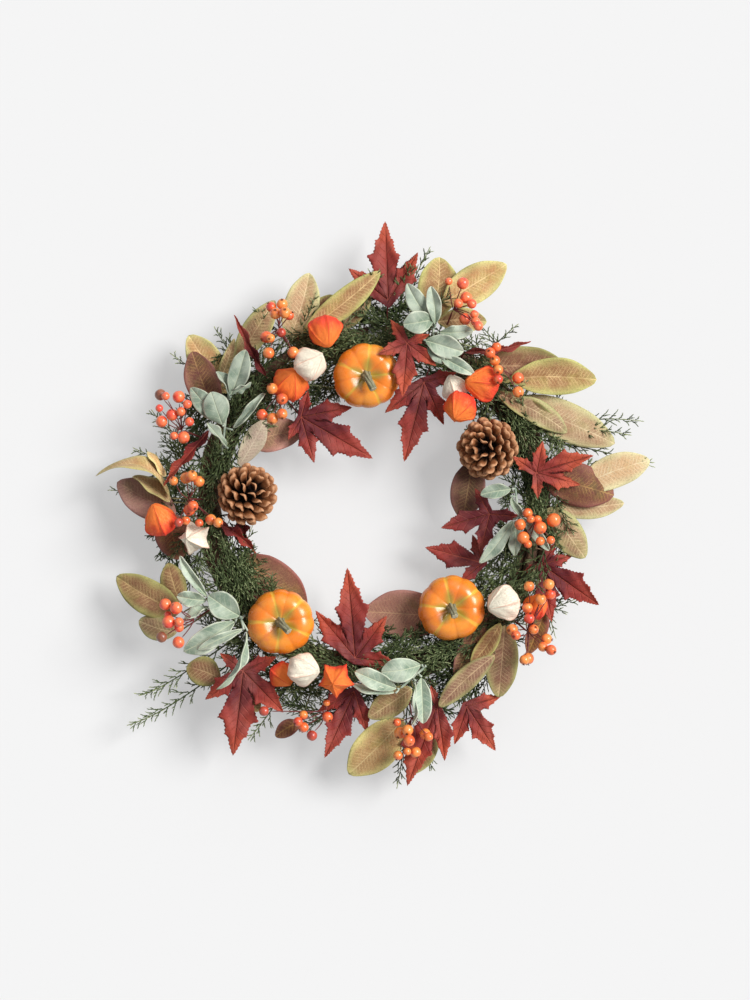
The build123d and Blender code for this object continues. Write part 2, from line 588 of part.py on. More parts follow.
# ---- berries: x, z and radius of each ----
berries = {
    "upper_left": Cluster((-193, 75), 50, [
        (-214, 110, 5.8), (-208.5, 108.5, 4.2), (-196, 108, 6.2), (-215, 96.5, 3.9), (-202.5, 90, 6),
        (-193.5, 93, 4.6), (-187, 100.5, 4.5), (-213, 83.5, 5.9), (-185, 83, 4.5), (-200.5, 69, 4),
        (-191, 67.5, 6.1),
    ]),
    "top_left": Cluster((-96, 176), 54, [
        (-103.5, 197.5, 5.2), (-92.5, 200, 5.5), (-99, 190.5, 5.7), (-89.5, 191, 5.7), (-85.5, 189, 4.8),
        (-108.5, 167.5, 6), (-104, 166, 4.5), (-93.5, 172, 4.8), (-106, 151.5, 5.8), (-81.5, 152, 5.8),
    ]),
    "inner_left": Cluster((-97, 108), 57, [
        (-102.5, 116, 5.5), (-92.5, 105.5, 5.8), (-112.5, 90, 5.7), (-102, 86, 5.8), (-92.5, 90.5, 5.5),
    ]),
    "top_right": Cluster((78, 195), 50, [
        (73.5, 223, 3.9), (87.5, 221, 6), (91, 207, 6), (83, 201, 4.8), (96.5, 200.5, 4.8), (90, 185.5, 6.1),
        (99, 190, 4.2), (100, 182.5, 4.6), (102.5, 178, 5),
    ]),
    "right": Cluster((122, 142), 57, [
        (121, 157.5, 4.8), (114.5, 151.5, 5.3), (119.5, 144, 5.3), (122.5, 134.5, 5.2), (122.5, 125, 4.8),
        (142.5, 126.5, 5.8), (142.5, 112.5, 5.6),
    ]),
    "left": Cluster((-186, 6), 57, [
        (-188, 27, 6), (-182, 29, 5.5), (-175.5, 23.5, 5.6), (-200.5, 24, 4.5), (-185, -5, 5.8),
        (-181, -1, 5.5), (-195.5, -17.5, 4.5), (-188.5, -15.5, 4.5), (-175, -18, 4.2), (-163.5, -14.5, 5.5),
        (-156, -17.5, 5),
    ]),
    "lower_left": Cluster((-180, -114), 54, [
        (-209, -99, 6), (-198, -102.5, 6.3), (-206.5, -109.5, 3.8), (-205.5, -116.5, 6.5),
        (-195, -116.5, 4.8), (-195.5, -122, 5), (-212.5, -131.5, 5.5), (-196, -137, 6),
    ]),
    "lower_right": Cluster((161, -12), 56, [
        (152, -8, 5), (155, -14, 4), (162, -14.5, 4.2), (144.5, -19.5, 5.7), (164.5, -22.5, 6.4),
        (178, -15, 7), (147.5, -32.5, 6.2), (152.5, -39, 4.2), (164.5, -36, 4.5), (175, -35, 4.2),
    ]),
    "bottom_right": Cluster((153, -127), 55, [
        (153.5, -81, 5.3), (173, -79, 5.7), (175, -89, 5.3), (165, -94, 5.5), (152, -102.5, 5.3),
        (153.5, -113, 5.3), (136.5, -124, 5.7), (140, -129.5, 4.8), (158, -124, 5), (171, -133.5, 5.5),
        (167, -141, 5), (175, -144, 5.3), (152.5, -153, 6), (148.5, -154, 5),
    ]),
    "bottom": Cluster((37, -212), 44, [
        (25, -227.5, 6), (32.5, -224.5, 5.7), (34, -234.5, 5.8), (22, -217, 4), (50, -228.5, 5.5),
        (53.5, -231, 4.5), (32, -246, 4), (40.5, -247, 5.5), (23, -250, 4.8),
    ]),
    "bottom_left": Cluster((-50, -207), 36, [
        (-71.5, -210, 4.5), (-77, -216.5, 4.8), (-71.5, -222.5, 5.2), (-63, -230.5, 5.3), (-47.5, -212, 5.4),
        (-48.5, -198, 3.5), (-111, -206, 5),
    ]),
}
for name, cluster in berries.items():
    write(f"berries_{name}", berry_cluster(cluster))
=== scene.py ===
"""Looks of the harvest door wreath: cloth leaves, cedar, gourds, cones, lantern pods and berries.

Everything is in metres in the part's frame: origin in the hanging loop's eye, front towards -Y, +Z up.
"""

import json
from collections import namedtuple
from math import cos, hypot, pi, radians, sin, sqrt, tan, tau

import bmesh
import bpy
import numpy as np
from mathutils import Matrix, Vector, noise

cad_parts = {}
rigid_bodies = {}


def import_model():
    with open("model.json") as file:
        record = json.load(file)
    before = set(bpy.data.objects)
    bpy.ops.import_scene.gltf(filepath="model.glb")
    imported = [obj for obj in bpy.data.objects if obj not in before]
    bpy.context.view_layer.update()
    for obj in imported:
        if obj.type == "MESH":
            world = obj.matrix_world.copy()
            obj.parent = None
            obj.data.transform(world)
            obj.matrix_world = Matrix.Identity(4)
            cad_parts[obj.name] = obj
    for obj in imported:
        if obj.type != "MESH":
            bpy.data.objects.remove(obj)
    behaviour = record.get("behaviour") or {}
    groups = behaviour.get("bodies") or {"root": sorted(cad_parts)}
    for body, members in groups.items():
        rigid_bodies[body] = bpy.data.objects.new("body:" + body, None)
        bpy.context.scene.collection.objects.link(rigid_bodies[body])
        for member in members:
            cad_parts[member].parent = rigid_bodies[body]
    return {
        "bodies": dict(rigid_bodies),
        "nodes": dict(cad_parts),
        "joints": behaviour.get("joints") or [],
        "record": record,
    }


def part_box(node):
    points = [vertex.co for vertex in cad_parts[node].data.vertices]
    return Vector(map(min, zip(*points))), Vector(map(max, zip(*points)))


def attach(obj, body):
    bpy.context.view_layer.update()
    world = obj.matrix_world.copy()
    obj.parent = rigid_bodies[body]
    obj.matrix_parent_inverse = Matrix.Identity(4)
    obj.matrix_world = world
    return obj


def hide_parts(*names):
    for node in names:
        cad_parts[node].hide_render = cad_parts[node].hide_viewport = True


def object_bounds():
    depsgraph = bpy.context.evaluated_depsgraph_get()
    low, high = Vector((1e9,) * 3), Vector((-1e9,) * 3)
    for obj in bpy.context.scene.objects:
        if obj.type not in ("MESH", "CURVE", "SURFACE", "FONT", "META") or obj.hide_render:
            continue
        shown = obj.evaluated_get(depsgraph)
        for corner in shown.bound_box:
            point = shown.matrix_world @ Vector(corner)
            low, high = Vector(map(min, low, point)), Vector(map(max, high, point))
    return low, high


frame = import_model()
cad_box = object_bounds()

# ---- studio ----
# A pale wall right behind the wreath, a soft key from the right, a little light from above and an
# even fill. Seen from behind, the wall lets the view through, so that the back of the wreath shows.
hoop_low, hoop_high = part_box("vine_cane_1")
hoop_centre = (hoop_low + hoop_high) / 2
wall_size = 9
wall_gap = 0.004
wall_glow = (0.892, 0.892, 0.892, 1)
glow_share = 0.48
backdrop_grey = (0.913, 0.913, 0.913, 1)
fill_strength = 0.25

bpy.ops.object.select_all(action="DESELECT")
wall_place = (0, cad_box[1].y + wall_gap, hoop_centre.z)
bpy.ops.mesh.primitive_plane_add(size=wall_size, location=wall_place, rotation=(pi / 2, 0, 0))
wall = bpy.context.object
wall.name = "wall"
bpy.ops.object.transform_apply(location=True, rotation=True, scale=True)


def colour(code):
    """The scene-linear colour of a #rrggbb code."""
    parts = [int(code[i : i + 2], 16) / 255 for i in (1, 3, 5)]
    return tuple(c / 12.92 if c < 0.04045 else ((c + 0.055) / 1.055) ** 2.4 for c in parts) + (1,)


class Paint:
    """A new material or world, with short ways to add its nodes and wire them."""

    def __init__(self, name, kind="materials"):
        self.material = getattr(bpy.data, kind).new(name)
        self.material.use_nodes = True
        self.tree = self.material.node_tree
        self.shader = self.tree.nodes.get("Principled BSDF")

    def wire(self, made, inputs):
        """Fills inputs: i0 is the first one, and base_color the one called Base Color."""
        names = {socket.name.lower().replace(" ", "_"): socket for socket in reversed(made.inputs)}
        for key, value in inputs.items():
            socket = made.inputs[int(key[1:])] if key[1:].isdigit() else names[key]
            if isinstance(value, bpy.types.NodeSocket):
                self.tree.links.new(value, socket)
            else:
                socket.default_value = colour(value) if isinstance(value, str) else value

    def node(self, kind, settings=None, **inputs):
        made = self.tree.nodes.new("ShaderNode" + kind)
        for key, value in (settings or {}).items():
            setattr(made, key, value)
        self.wire(made, inputs)
        return made

    def calc(self, operation, *values):
        inputs = {f"i{index}": value for index, value in enumerate(values)}
        return self.node("Math", {"operation": operation}, **inputs).outputs[0]

    def plus(self, first, second):
        return self.calc("ADD", first, second)

    def less(self, first, second):
        return self.calc("SUBTRACT", first, second)

    def times(self, first, second):
        return self.calc("MULTIPLY", first, second)

    def most(self, first, second):
        return self.calc("MAXIMUM", first, second)

    def rise(self, value, low, high, to=1.0):
        """0 below low and to above high, with a smooth step between."""
        smooth = {"interpolation_type": "SMOOTHSTEP"}
        return self.node("MapRange", smooth, value=value, from_min=low, from_max=high, to_max=to).outputs[0]

    def mix(self, factor, first, second):
        return self.node("Mix", {"data_type": "RGBA"}, i0=factor, i6=first, i7=second).outputs[2]

    def wash(self, base, code, value, low, high, to=1.0):
        """A base colour with another over it where value rises from low to high."""
        return self.mix(self.rise(value, low, high, to), base, code)

    def cloud(self, scale, detail=3, place=None, roughness=0.55):
        """Noise from 0 to 1, on the object's own coordinates unless a place is given."""
        place = place or self.node("TexCoord").outputs["Object"]
        return self.node("TexNoise", vector=place, scale=scale, detail=detail, roughness=roughness).outputs[0]

    def ruffle(self, value, amount, scale, detail):
        """A value pushed up and down by a cloud."""
        return self.plus(value, self.times(self.less(self.cloud(scale, detail), 0.5), amount))

    def read(self, name, output="Fac"):
        return self.node("Attribute", {"attribute_name": name}).outputs[output]

    def cloth(self):
        """The two numbers of the piece's own UV map."""
        return self.node("SeparateXYZ", vector=self.node("UVMap").outputs[0]).outputs

    def net(self, scale):
        """The distance to the nearest line of a net of veins on the UV map."""
        place = self.node("UVMap").outputs[0]
        return self.node("TexVoronoi", {"feature": "DISTANCE_TO_EDGE"}, vector=place, scale=scale).outputs["Distance"]

    def surface(self, height=None, depth=0.0005, **inputs):
        """Sets the shader, with a bump from height if there is one."""
        if height is not None:
            inputs["normal"] = self.node("Bump", strength=1.0, distance=depth, height=height).outputs[0]
        self.wire(self.shader, inputs)
        return self.material

    def blend(self, factor, first, second):
        """A mix of two shader nodes."""
        return self.node("MixShader", i0=factor, i1=first.outputs[0], i2=second.outputs[0])

    def seen_itself(self):
        """1 for rays that show a thing itself: to the camera, in gloss, or through glass."""
        ray = self.node("LightPath").outputs
        return self.most(ray["Is Camera Ray"], self.most(ray["Is Glossy Ray"], ray["Is Transmission Ray"]))

    def show(self, shader):
        output = next(node for node in self.tree.nodes if node.type.startswith("OUTPUT"))
        self.tree.links.new(shader.outputs[0], output.inputs["Surface"])


plaster = Paint("wall_paint")
plaster.surface(base_color=(0.80, 0.802, 0.808, 1), roughness=1.0, specular_ior_level=0.0)
glow = plaster.node("Emission", color=wall_glow)
lifted = plaster.blend(glow_share, plaster.shader, glow)
paint = plaster.blend(plaster.seen_itself(), plaster.shader, lifted)
facing_away = plaster.node("NewGeometry").outputs["Backfacing"]
plaster.show(plaster.blend(facing_away, paint, plaster.node("BsdfTransparent")))
wall.data.materials.append(plaster.material)

air = Paint("studio", "worlds")
fill = air.tree.nodes["Background"]
air.wire(fill, {"color": (0.95, 0.97, 1.0, 1), "strength": fill_strength})
backdrop = air.node("Background", color=backdrop_grey, strength=1.0)
air.show(air.blend(air.seen_itself(), fill, backdrop))
bpy.context.scene.world = air.material


def add_sun(name, towards, strength, spread, tint=(1, 1, 1)):
    """A soft sun that shines along a direction; spread is its angular size in degrees."""
    bpy.ops.object.light_add(type="SUN", location=(0, -1, 1))
    sun = bpy.context.object
    sun.name = name
    sun.data.energy = strength
    sun.data.angle = radians(spread)
    sun.data.color = tint
    sun.rotation_euler = Vector(towards).to_track_quat("-Z", "Y").to_euler()


add_sun("key", (-0.67, 0.71, -0.27), 3.87, 30, (1.0, 0.99, 0.975))
add_sun("high", (-0.15, 0.62, -0.77), 0.33, 40)
add_sun("back_fill", (0.3, -0.9, -0.4), 0.9, 60)

camera_distance = 5.0
frame_height = 1.0
foliage_depth = 0.03
camera_rise = 0.005
camera_place = (0, hoop_centre.y - foliage_depth - camera_distance, hoop_centre.z + camera_rise)
bpy.ops.object.camera_add(location=camera_place, rotation=(pi / 2, 0, 0))
camera = bpy.context.object
camera.data.sensor_width = 36
camera.data.lens = camera.data.sensor_width * camera_distance / frame_height
camera.data.clip_end = 100
bpy.context.scene.camera = camera
bpy.context.scene.view_settings.view_transform = "Standard"

# ---- vine canes ----
# Four grapevine canes, knobby and loosely twisted round each other, bent into the hoop. The bark
# is brown, split into strips along each cane.
cane_radius = (hoop_high.y - hoop_low.y) / 2
bundle_y = (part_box("vine_cane_1")[0].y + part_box("vine_cane_4")[1].y) / 2
inner_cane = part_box("vine_cane_2")
hoop_radius = ((hoop_high.x - hoop_low.x) + (inner_cane[1].x - inner_cane[0].x)) / 4 - cane_radius
twist_turns = 3
bundle_reach = 0.0088
knot_spacing = 0.055
cane_grid = (16, 420)


def wobble(position, size, seed):
    """Smooth noise from -1 to 1 along an array of positions."""
    return np.array([noise.noise(Vector((p / size, seed, 0.5 * seed))) for p in position])


def number(piece, **values):
    """Stores numbers on a piece for its material to read, each one for all of it or one a point."""
    for key, value in values.items():
        layer = piece.data.attributes.new(key, "FLOAT", "POINT")
        layer.data.foreach_set("value", np.full(len(piece.data.vertices), value))


def formed_sheet(name, columns, rows, form, close=False):
    """A grid of quads put in place by form(u, v), with u and v from 0 to 1 in its UV map too.

    form gives the points, or the points, their places on the UV map, and more numbers by name.
    Edges that meet are merged; close also turns the faces outward, for a rolled sheet.
    """
    bpy.ops.mesh.primitive_grid_add(x_subdivisions=columns, y_subdivisions=rows, size=2)
    piece = bpy.context.object
    piece.name = name
    mesh = piece.data
    flat = np.empty(len(mesh.vertices) * 3)
    mesh.vertices.foreach_get("co", flat)
    flat = np.clip((flat.reshape(-1, 3) + 1) / 2, 0, 1)
    made = form(flat[:, 0], flat[:, 1])
    points, cloth, numbers = made if isinstance(made, tuple) else (made, None, {})
    mesh.vertices.foreach_set("co", points.ravel())
    if cloth is not None:
        corners = np.empty(len(mesh.loops), int)
        mesh.loops.foreach_get("vertex_index", corners)
        mesh.uv_layers[0].data.foreach_set("uv", cloth[corners].ravel())
    number(piece, **numbers)
    bpy.ops.object.mode_set(mode="EDIT")
    bpy.ops.mesh.select_all(action="SELECT")
    bpy.ops.mesh.remove_doubles(threshold=1e-6)
    if close:
        bpy.ops.mesh.normals_make_consistent(inside=False)
    bpy.ops.object.mode_set(mode="OBJECT")
    bpy.ops.object.shade_smooth()
    return piece


def dress(piece, slot, *cad_names):
    """Puts a piece on the wreath's body and hides the CAD nodes that it stands for."""
    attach(piece, "wreath")
    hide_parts(*cad_names)


def cane_form(place):
    """Where a point round and along a cane lies; place counts the four canes from 1."""
    start = pi / 4 + (place - 1) * pi / 2

    def form(u, v):
        angle = v * tau
        run = angle * hoop_radius
        knots = np.exp(-((((run + 0.017 * place) / knot_spacing) % 1 - 0.5) / 0.09) ** 2)
        turn = start + twist_turns * angle + 0.25 * np.sin(2 * angle + place)
        thick = cane_radius * (0.84 + 0.05 * wobble(run, 0.02, place) + 0.13 * knots)
        thick = thick * (1 + 0.05 * np.sin(u * tau * 4 + wobble(run, 0.03, place + 9) * 3))
        inward = bundle_reach * np.cos(turn) + thick * np.cos(u * tau)
        forward = bundle_reach * np.sin(turn) + thick * np.sin(u * tau)
        reach = hoop_radius + inward
        return np.stack([reach * np.cos(angle), bundle_y - forward, hoop_centre.z + reach * np.sin(angle)], 1)

    return form


bark = Paint("vine_bark")
strips = bark.node("Mapping", vector=bark.node("UVMap").outputs[0], scale=(9, 420, 1))
fibre = bark.cloud(1.0, 6, strips.outputs[0], 0.7)
wood = bark.mix(bark.rise(fibre, 0.32, 0.72), "#3b2a20", "#957860")
wood = bark.wash(wood, "#664b3b", bark.cloud(70), 0.35, 0.75)
bark.surface(fibre, 0.0010, base_color=wood, roughness=0.8, specular_ior_level=0.25)

for place in range(1, 5):
    cane = formed_sheet(f"twisted_cane_{place}", *cane_grid, cane_form(place), close=True)
    cane.data.materials.append(bark.material)
    dress(cane, "vine", f"vine_cane_{place}")

# ---- ties, strap, hanging loop and picks ----
# Plain metalwork: brown florist's wire ties, a bent steel strap with its knuckle, a bright wire
# loop, and galvanised picks that carry the gourds and cones.
def metal(name, code, dull, roughness, scratch):
    """Bare or painted metal with fine scratches and a little tarnish."""
    made = Paint(name)
    streaks = made.node("Mapping", vector=made.node("TexCoord").outputs["Object"], scale=(2500, 300, 300))
    fine = made.cloud(1.0, 3, streaks.outputs[0])
    rough = made.node("MapRange", value=fine, to_min=roughness, to_max=roughness + scratch).outputs[0]
    return made.surface(fine, 0.00003, base_color=made.mix(made.cloud(160), code, dull), metallic=1.0, roughness=rough)


finishes = {
    "tie_wires": metal("florist_wire", "#7c6651", "#4a3c2e", 0.45, 0.2),
    "hanger_strap": metal("strap_steel", "#bbb9b6", "#85837f", 0.32, 0.25),
    "hanging_loop": metal("bright_wire", "#cfcdca", "#98958f", 0.25, 0.2),
    "pick_wires": metal("pick_wire", "#b5b5b1", "#7d7d79", 0.4, 0.2),
}
nodes = frame["nodes"]
for name, finish in finishes.items():
    for slot in nodes[name].material_slots:
        slot.material = finish

# ---- pumpkins ----
# Three mini gourds, glossy orange with ten lobes, a yellow stripe in every second groove, and a
# leaning grey-green stem that is cut off flat. Their stem ends face the viewer.
stripe_angles = {
    "top": (7, 86, 153, 223, 294), "lower_left": (-15, 44, 115, 186, 270), "lower_right": (-12, 54, 124, 213, 275),
}
stem_leans = {"top": (0.007, -0.014), "lower_left": (0.009, -0.009), "lower_right": (0.003, -0.008)}
gourd_radius = 0.0332
gourd_rise = 0.0178
groove_depth = 0.045
dimple_depth = 0.40
stem_foot, stem_neck, stem_drop = 0.0085, 0.0215, 0.006


def gourd_form(middle, stripes):
    """A gourd whose grooves lie at the stripes, in degrees clockwise from the top, and half way between."""
    stripes = list(stripes) + [stripes[0] + 360]
    halves = [(a + b) / 2 for a, b in zip(stripes, stripes[1:])]
    grooves = sorted(stripes + halves)

    def form(u, v):
        lobe = np.interp(stripes[0] + 360 * u, grooves, range(11))
        turn = np.radians(stripes[0] + 360 * u)
        swell = np.abs(np.sin(pi * lobe)) ** 0.75
        fall = v * pi
        plump = 1 + 0.018 * np.sin(2 * turn - 1) + 0.012 * np.sin(3 * turn + 2)
        reach = gourd_radius * plump * np.sin(fall) ** 0.72 * (1 - groove_depth * (1 - swell) * np.sin(fall))
        dimple = 1 - dimple_depth * np.exp(-((np.sin(fall) / 0.36) ** 2))
        rise = gourd_rise * np.cos(fall) * dimple * (0.965 + 0.035 * swell)
        points = np.stack([middle[0] + reach * np.sin(turn), middle[1] - rise, middle[2] + reach * np.cos(turn)], 1)
        return points, np.stack([lobe / 10, v], 1), {}

    return form


def unit(vector):
    return vector / np.linalg.norm(vector, axis=-1, keepdims=True)


def beside(axis, hint):
    """Two directions square to an axis and to each other."""
    side = unit(np.cross(axis, hint))
    return side, np.cross(axis, side)


def ringed(path, reach, turn, directions):
    """Points at a reach and a turn about a path, in the plane of two directions."""
    side, over = directions
    return path + (reach * np.cos(turn))[:, None] * side + (reach * np.sin(turn))[:, None] * over


def stem_form(foot, neck, end):
    """A ridged stem that flares at its foot, leans over and ends in a flat cut."""

    def form(u, v):
        share = np.clip(v / 0.9, 0, 1)
        path = np.outer((1 - share) ** 2, foot) + np.outer(2 * share * (1 - share), neck) + np.outer(share**2, end)
        facing = unit(np.outer(1 - share, (0, -1, 0)) + np.outer(share, unit(np.array(end) - neck)))
        thick = 0.0029 + 0.0032 * np.exp(-share / 0.25) + 0.0004 * share**3
        thick *= (1 + 0.13 * np.cos(6 * u * tau)) * np.clip((1 - v) / 0.1, 0, 1)
        return ringed(path, thick, u * tau, beside(facing, (0.2, 0.1, 1)))

    return form


rind = Paint("pumpkin_skin")
lobe, fall = rind.cloth()[:2]
lobe = rind.plus(rind.times(lobe, 10), rind.times(rind.cloud(90, 4), 0.16))
off_stripe = rind.calc("PINGPONG", rind.less(lobe, 0.08), 1.0)
groove = rind.calc("PINGPONG", rind.less(lobe, 0.08), 0.5)
skin = rind.mix(rind.rise(rind.cloud(38, 4), 0.35, 0.7), "#ee7d1c", "#f89c34")
skin = rind.wash(skin, "#e8794c", rind.cloud(60, 3), 0.56, 0.74, 0.55)
skin = rind.wash(skin, "#c95f10", groove, 0.16, 0.0, 0.22)
skin = rind.wash(skin, "#efb840", off_stripe, 0.15, 0.05, 0.8)
near_stem = rind.plus(fall, rind.times(off_stripe, 0.12))
skin = rind.wash(skin, "#8d8f36", near_stem, 0.22, 0.08, 0.7)
skin = rind.wash(skin, "#b9863f", fall, 0.80, 0.95)
gloss = rind.rise(rind.cloud(220, 3), 0.3, 0.8, 0.14)
gloss = rind.plus(gloss, 0.24)
rind.surface(rind.cloud(420, 4), 0.0001, base_color=skin, roughness=gloss, coat_weight=0.15, coat_roughness=0.16)

rough_stem = Paint("pumpkin_stem")
along = rough_stem.cloth()[1]
furrows = rough_stem.node("Mapping", vector=rough_stem.node("UVMap").outputs[0], scale=(30, 5, 1))
furrow = rough_stem.cloud(1.0, 4, furrows.outputs[0])
bark_tone = rough_stem.mix(rough_stem.rise(furrow, 0.3, 0.7), "#5c5c40", "#a3a084")
bark_tone = rough_stem.wash(bark_tone, "#bdb498", along, 0.88, 0.91)
rough_stem.surface(furrow, 0.0006, base_color=bark_tone, roughness=0.75)

for name, stripes in stripe_angles.items():
    low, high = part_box(f"pumpkin_{name}")
    middle = (low + high) / 2
    gourd = formed_sheet(f"gourd_{name}", 160, 48, gourd_form(middle, stripes), close=True)
    gourd.data.materials.append(rind.material)
    dress(gourd, "gourd_skin", f"pumpkin_{name}")
    foot = middle + Vector((0, -stem_foot, 0))
    neck = middle + Vector((0, -stem_neck, 0))
    end = neck + Vector((stem_leans[name][0], -stem_drop, stem_leans[name][1]))
    stem = formed_sheet(f"gourd_stem_{name}", 48, 30, stem_form(foot, neck, end), close=True)
    stem.data.materials.append(rough_stem.material)
    dress(stem, "gourd_stem", f"pumpkin_stem_{name}")

# ---- pine cones ----
# Two open cones: woody scales with a rounded, tan-rimmed end, set on a golden spiral round a core. The core and the
# inner part of every scale are painted near-black, as shade deep in the cone.
# Every scale is a copy of one, smaller towards the cone's ends.
scale_count = 64
cone_height = 0.052
cone_radius = 0.030
scale_size = 0.0132
golden_angle = radians(137.508)
rng = np.random.default_rng(11)


def solids_of(name):
    """The points of every solid in a CAD node, in the node's own order."""
    mesh = bmesh.new()
    mesh.from_mesh(nodes[name].data)
    mesh.transform(nodes[name].matrix_world)
    bmesh.ops.remove_doubles(mesh, verts=mesh.verts, dist=1e-6)
    found = []
    for first in mesh.verts:
        if first.tag:
            continue
        first.tag = True
        island = [first]
        for point in island:
            for edge in point.link_edges:
                other = edge.other_vert(point)
                if not other.tag:
                    other.tag = True
                    island.append(other)
        found.append(np.array([point.co[:] for point in island]))
    mesh.free()
    return found


def copies(name, master, frames, places, numbers):
    """One mesh of many copies of a small solid, each with its own 3x3 frame, place and numbers."""
    points, faces = master
    count, size = len(places), len(points)
    spread = np.einsum("nij,kj->nki", frames, points) + places[:, None]
    shifted = [[corner + size * k for corner in face] for k in range(count) for face in faces]
    mesh = bpy.data.meshes.new(name)
    mesh.from_pydata(spread.reshape(-1, 3).tolist(), [], shifted)
    piece = bpy.data.objects.new(name, mesh)
    bpy.context.collection.objects.link(piece)
    for key, values in numbers.items():
        number(piece, **{key: np.repeat(values, size) if len(values) == count else np.tile(values, count)})
    mesh.uv_layers.new(name="UVMap")
    return piece


def join(name, pieces):
    """Joins pieces into one object."""
    bpy.ops.object.select_all(action="DESELECT")
    for piece in pieces:
        piece.select_set(True)
    bpy.context.view_layer.objects.active = pieces[0]
    if len(pieces) > 1:
        bpy.ops.object.join()
    pieces[0].name = name
    return pieces[0]


def scale_form(u, v):
    """A cone scale along +Z from its foot: thin and narrow there, a thick round spoon at its end."""
    turn = u * tau
    v = 1 - (1 - v) ** 1.9
    end = np.sqrt(np.clip(1 - np.clip((v - 0.74) / 0.26, 0, 1) ** 2, 0, 1))
    wide = 0.5 * (0.34 + 0.66 * np.sin(np.clip(v / 0.78, 0, 1) * pi / 2) ** 1.5) * end
    thick = (0.05 + 0.13 * np.clip((v - 0.5) / 0.4, 0, 1) ** 2) * end**0.8
    lift = 0.12 * v**3 + 0.55 * wide * np.cos(turn) ** 2
    rim = np.maximum(np.abs(np.cos(turn)) ** 5 * (v > 0.5), np.clip((v - 0.86) / 0.12, 0, 1))
    return np.stack([wide * np.cos(turn), lift + thick * np.sin(turn), v], 1), None, {"share": v, "rim": rim}


master = formed_sheet("cone_scale", 16, 14, scale_form, close=True)
scale_points = np.array([point.co[:] for point in master.data.vertices])
scale_faces = [list(face.vertices) for face in master.data.polygons]
scale_numbers = {}
for key in ("share", "rim"):
    scale_numbers[key] = np.array([value.value for value in master.data.attributes[key].data])
bpy.data.objects.remove(master)

woody = Paint("cone_wood")
share, rim, tone = woody.read("share"), woody.read("rim"), woody.read("tone")
grain = woody.cloud(320, 4)
wood = woody.mix(woody.rise(grain, 0.3, 0.75), "#7a4627", "#a2683f")
wood = woody.mix(woody.times(tone, 0.4), wood, "#b07850")
worn_rim = woody.times(woody.rise(rim, 0.2, 0.9), woody.rise(grain, 0.15, 0.6, 0.85))
wood = woody.mix(worn_rim, wood, "#cf9c74")
# Painted shade: near-black towards each scale's foot and on the core, deep inside the cone.
wood = woody.wash(wood, "#1c0f0a", share, 0.80, 0.45)
woody.surface(grain, 0.0006, base_color=wood, roughness=0.62, specular_ior_level=0.3)

for name, heading in (("left", (0.42, -0.82, 0.38)), ("right", (-0.30, -0.95, 0.02))):
    points = np.concatenate(solids_of(f"pine_cone_{name}"))
    axis = unit(np.array(heading))
    side, over = beside(axis, (0, 0, 1))
    middle = (points.max(0) + points.min(0)) / 2
    foot = middle - axis * cone_height * 0.5
    frames, places, tones = [], [], []
    for index in range(scale_count):
        share = 1 - (1 - (index + 0.5) / scale_count) ** 1.22
        turn = golden_angle * index
        outward = side * cos(turn) + over * sin(turn)
        belly = cone_radius * sqrt(1 - ((share - 0.34) / 0.664) ** 2) * rng.uniform(0.95, 1.04)
        lean = radians(6 + 66 * share**1.4)
        tip = foot + axis * cone_height * (0.10 + 0.88 * share) + outward * belly
        inward = belly - 0.003
        root = tip - outward * inward - axis * min(inward * tan(lean) + 0.010 * share**2, 0.022)
        direction = unit(tip - root)
        size = scale_size * (0.70 + 0.34 * sin(pi * min(share * 1.1, 1.0))) * rng.uniform(0.92, 1.06)
        up = unit(np.cross(direction, np.cross(outward, axis)))
        across = np.cross(up, direction)
        frames.append(np.stack([across * size, up * size, tip - root], 1))
        places.append(root)
        tones.append(rng.random())
    numbers = {"tone": np.array(tones), **scale_numbers}
    scales = copies(f"cone_scales_{name}", (scale_points, scale_faces), np.array(frames), np.array(places), numbers)
    bpy.ops.object.select_all(action="DESELECT")
    bpy.context.view_layer.objects.active = scales
    scales.select_set(True)
    bpy.ops.object.shade_smooth()

    def core_form(u, v, foot=foot, axis=axis, directions=(side, over)):
        thick = 0.010 * np.sin(pi * v) ** 0.5 * (1 - 0.45 * v)
        return ringed(foot + np.outer(0.003 + 0.036 * v, axis), thick, u * tau, directions)

    core = formed_sheet("cone_core", 16, 12, core_form, close=True)
    core.data.materials.append(woody.material)
    scales.data.materials.append(woody.material)
    cone = join(f"open_cone_{name}", [scales, core])
    dress(cone, "cone_scale", f"pine_cone_{name}")

# ---- lantern pods ----
# Paper pods like those of the lantern plant, on thin stalks: eight orange and five cream ones. Five
# ribs run from the stalk to the tip; between them the paper is puffed up, or sunk in to a star.
pod_fullness = 1.10


def axes_of(points):
    """The middle of a set of points and its three main directions, longest first."""
    middle = (points.max(0) + points.min(0)) / 2
    return middle, np.linalg.svd(points - points.mean(0), full_matrices=False)[2]


def ends_of(points):
    """The middles of the two ends of a long solid."""
    middle, axes = axes_of(points)
    along = (points - middle) @ axes[0]
    band = 0.02 * np.ptp(along)
    return points[along < along.min() + band].mean(0), points[along > along.max() - band].mean(0)


def stalk_ends(points, carried):
    """The two ends of a stalk, first the one nearer to what it carries."""
    return sorted(ends_of(points), key=lambda end: np.linalg.norm(carried - end, axis=1).min())


def stalk(name, start, end, radius, tip_radius, bow=(0, 0, 0)):
    """A thin round stalk between two points, bowed by an offset at its middle."""
    start, end, bow = np.array(start), np.array(end), np.array(bow)
    directions = beside(unit(end - start), (0.3, 0.9, 0.25))

    def form(u, v):
        thick = np.where((v < 0.01) | (v > 0.99), 0, radius + (tip_radius - radius) * v)
        path = start + np.outer(v, end - start) + np.outer(np.sin(v * pi), bow)
        return ringed(path, thick, u * tau, directions)

    return formed_sheet(name, 8, 10, form, close=True)


